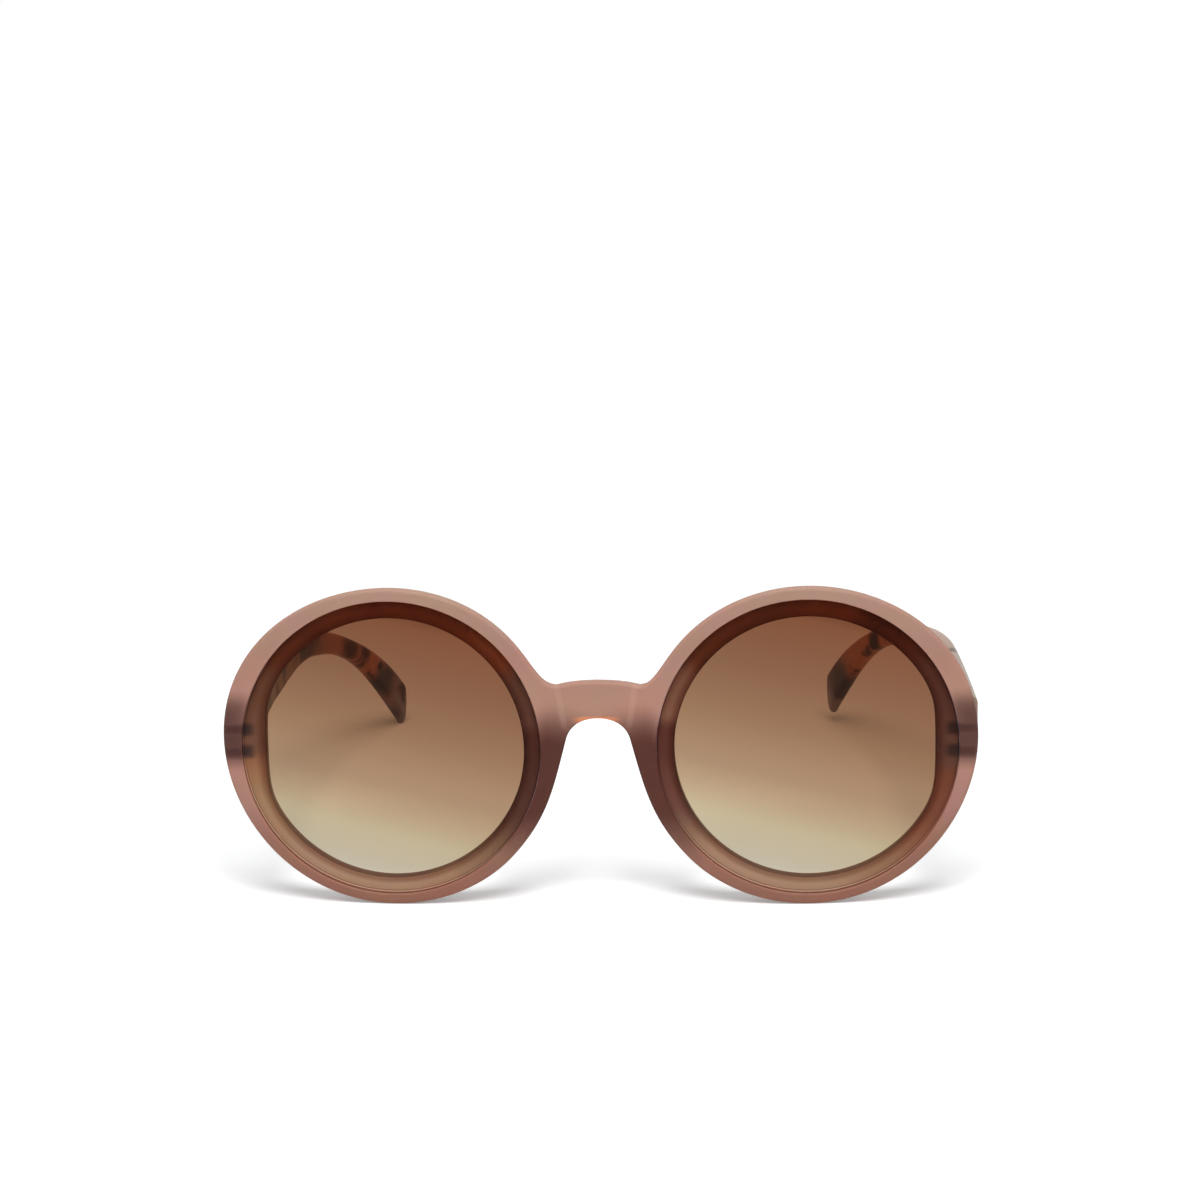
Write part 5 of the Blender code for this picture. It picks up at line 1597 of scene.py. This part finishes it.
def make_floor():
    bm = bmesh.new()
    bmesh.ops.create_grid(bm, x_segments=1, y_segments=1, size=FLOOR_SIZE / 2)
    floor = object_from(bm, "table_sheet")
    material = bpy.data.materials.new("white_paper_sweep")
    tree, output = start_material(material)
    seen = looked_at(tree)
    place = add_node(tree, "ShaderNodeTexCoord").outputs["Object"]
    reach = add_node(tree, "ShaderNodeVectorMath", LENGTH, {0: place}).outputs["Value"]
    far = add_node(tree, "ShaderNodeMapRange", SMOOTH, {
        "Value": reach,
        "From Min": SHADOW_REACH[0],
        "From Max": SHADOW_REACH[1],
    }).outputs["Result"]
    paper = add_node(tree, "ShaderNodeBsdfDiffuse", None, {"Color": linear("#fdfdfd")})
    from_below = add_node(tree, "ShaderNodeEmission", None, {
        "Color": linear("#f2f9fb"),
        "Strength": add_node(tree, "ShaderNodeMath", MULTIPLY, {0: seen, 1: LIGHT_TABLE}).outputs[0],
    })
    lit = add_node(tree, "ShaderNodeAddShader", None, {
        0: paper.outputs["BSDF"],
        1: from_below.outputs["Emission"],
    })
    mixed = add_node(tree, "ShaderNodeMixShader", None, {
        "Fac": add_node(tree, "ShaderNodeMath", MULTIPLY, {0: far, 1: seen}).outputs[0],
        1: lit.outputs["Shader"],
        2: add_node(tree, "ShaderNodeEmission", None, {"Color": linear("#ffffff")}).outputs["Emission"],
    })
    tree.links.new(mixed.outputs["Shader"], output.inputs["Surface"])
    dress(floor, material)
    return floor


floor = make_floor()
print("floor:", floor.name)

# %% World
WORLD_LIGHT = 0.36


def make_world():
    world = bpy.data.worlds.new("white_studio")
    bpy.context.scene.world = world
    world.use_nodes = True
    tree = world.node_tree
    tree.nodes.clear()
    strength = add_node(tree, "ShaderNodeMapRange", None, {
        "Value": looked_at(tree),
        "To Min": WORLD_LIGHT,
        "To Max": 1.0,
    })
    background = add_node(tree, "ShaderNodeBackground", None, {
        "Color": linear("#ffffff"),
        "Strength": strength.outputs["Result"],
    })
    output = add_node(tree, "ShaderNodeOutputWorld")
    tree.links.new(background.outputs["Background"], output.inputs["Surface"])


make_world()
print("world light:", WORLD_LIGHT)

# %% [markdown]
# ## Lamp and camera
# One broad softbox hangs above and a little ahead, so the brow of the front is palest, which the
# painted shade in the rim's colour adds to, and the shadow stays soft and close. The camera's place,
# tilt and focal length were worked out from the ellipses that the round lenses make in the picture,
# with the pieces in real sizes.

# %% Lamp
SOFTBOX_PLACE = Vector((0.05, -0.56, 0.86))
SOFTBOX_TARGET = Vector((0.0, -0.03, 0.0))
SOFTBOX_SIZE = 0.55
SOFTBOX_WATTS = 9.0


def make_softbox():
    data = bpy.data.lights.new("softbox_above", "AREA")
    data.size = SOFTBOX_SIZE
    data.energy = SOFTBOX_WATTS
    lamp = bpy.data.objects.new("softbox_above", data)
    bpy.context.scene.collection.objects.link(lamp)
    lamp.location = SOFTBOX_PLACE
    lamp.rotation_euler = (SOFTBOX_TARGET - SOFTBOX_PLACE).to_track_quat("-Z", "Y").to_euler()
    return lamp


lamp = make_softbox()
print("lamp:", lamp.name, lamp.data.energy, "watts")

# %% Camera
CAMERA_PLACE = Vector((41.9, -746.36, 220.77)) * MM
CAMERA_PITCH = math.radians(13.28)
CAMERA_YAW = math.radians(-3.44)
CAMERA_ROLL = math.radians(-1.06)
FOCAL_LENGTH = 111.084


def make_camera():
    forward = Vector((
        math.sin(CAMERA_YAW) * math.cos(CAMERA_PITCH),
        math.cos(CAMERA_YAW) * math.cos(CAMERA_PITCH),
        -math.sin(CAMERA_PITCH),
    ))
    level = Vector((math.cos(CAMERA_YAW), -math.sin(CAMERA_YAW), 0.0))
    upward = level.cross(forward)
    right = level * math.cos(CAMERA_ROLL) + upward * math.sin(CAMERA_ROLL)
    up = right.cross(forward)
    data = bpy.data.cameras.new("photo_camera")
    data.lens = FOCAL_LENGTH
    camera = bpy.data.objects.new("photo_camera", data)
    bpy.context.scene.collection.objects.link(camera)
    turn = Matrix((right, up, -forward)).transposed().to_4x4()
    camera.matrix_world = Matrix.Translation(CAMERA_PLACE) @ turn
    bpy.context.scene.camera = camera
    return camera


camera = make_camera()
bpy.context.scene.view_settings.view_transform = "Standard"
print("camera at", [round(c, 3) for c in camera.location])

# %% [markdown]
# ## Put every piece on its body
# Each finished piece rides on the body that carries it and stands for its imported node, which is
# hidden.

# %% Bodies, nodes and finishes
def hand_over(piece, body, node):
    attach(piece, body)
    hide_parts(node)


FINISHES = {
    "hinge_front_leaf": ("front", "gunmetal"),
    "hinge_screw": ("front", "screw_steel"),
    "hinge_temple_leaf": ("temple", "gunmetal"),
    "temple_core": ("temple", "core_wire_steel"),
}
hand_over(front, "front", "front_frame")
for side_name in SIDES:
    hand_over(lenses[side_name], "front", "lens_" + side_name)
    hand_over(temples[side_name], "temple_" + side_name, "temple_" + side_name)
for node, piece in hardware.items():
    kind, side_name = node.rsplit("_", 1)
    body, finish = FINISHES[kind]
    if body == "temple":
        body = "temple_" + side_name
    hand_over(piece, body, node)
print("pieces:", 1 + len(lenses) + len(temples) + len(hardware))
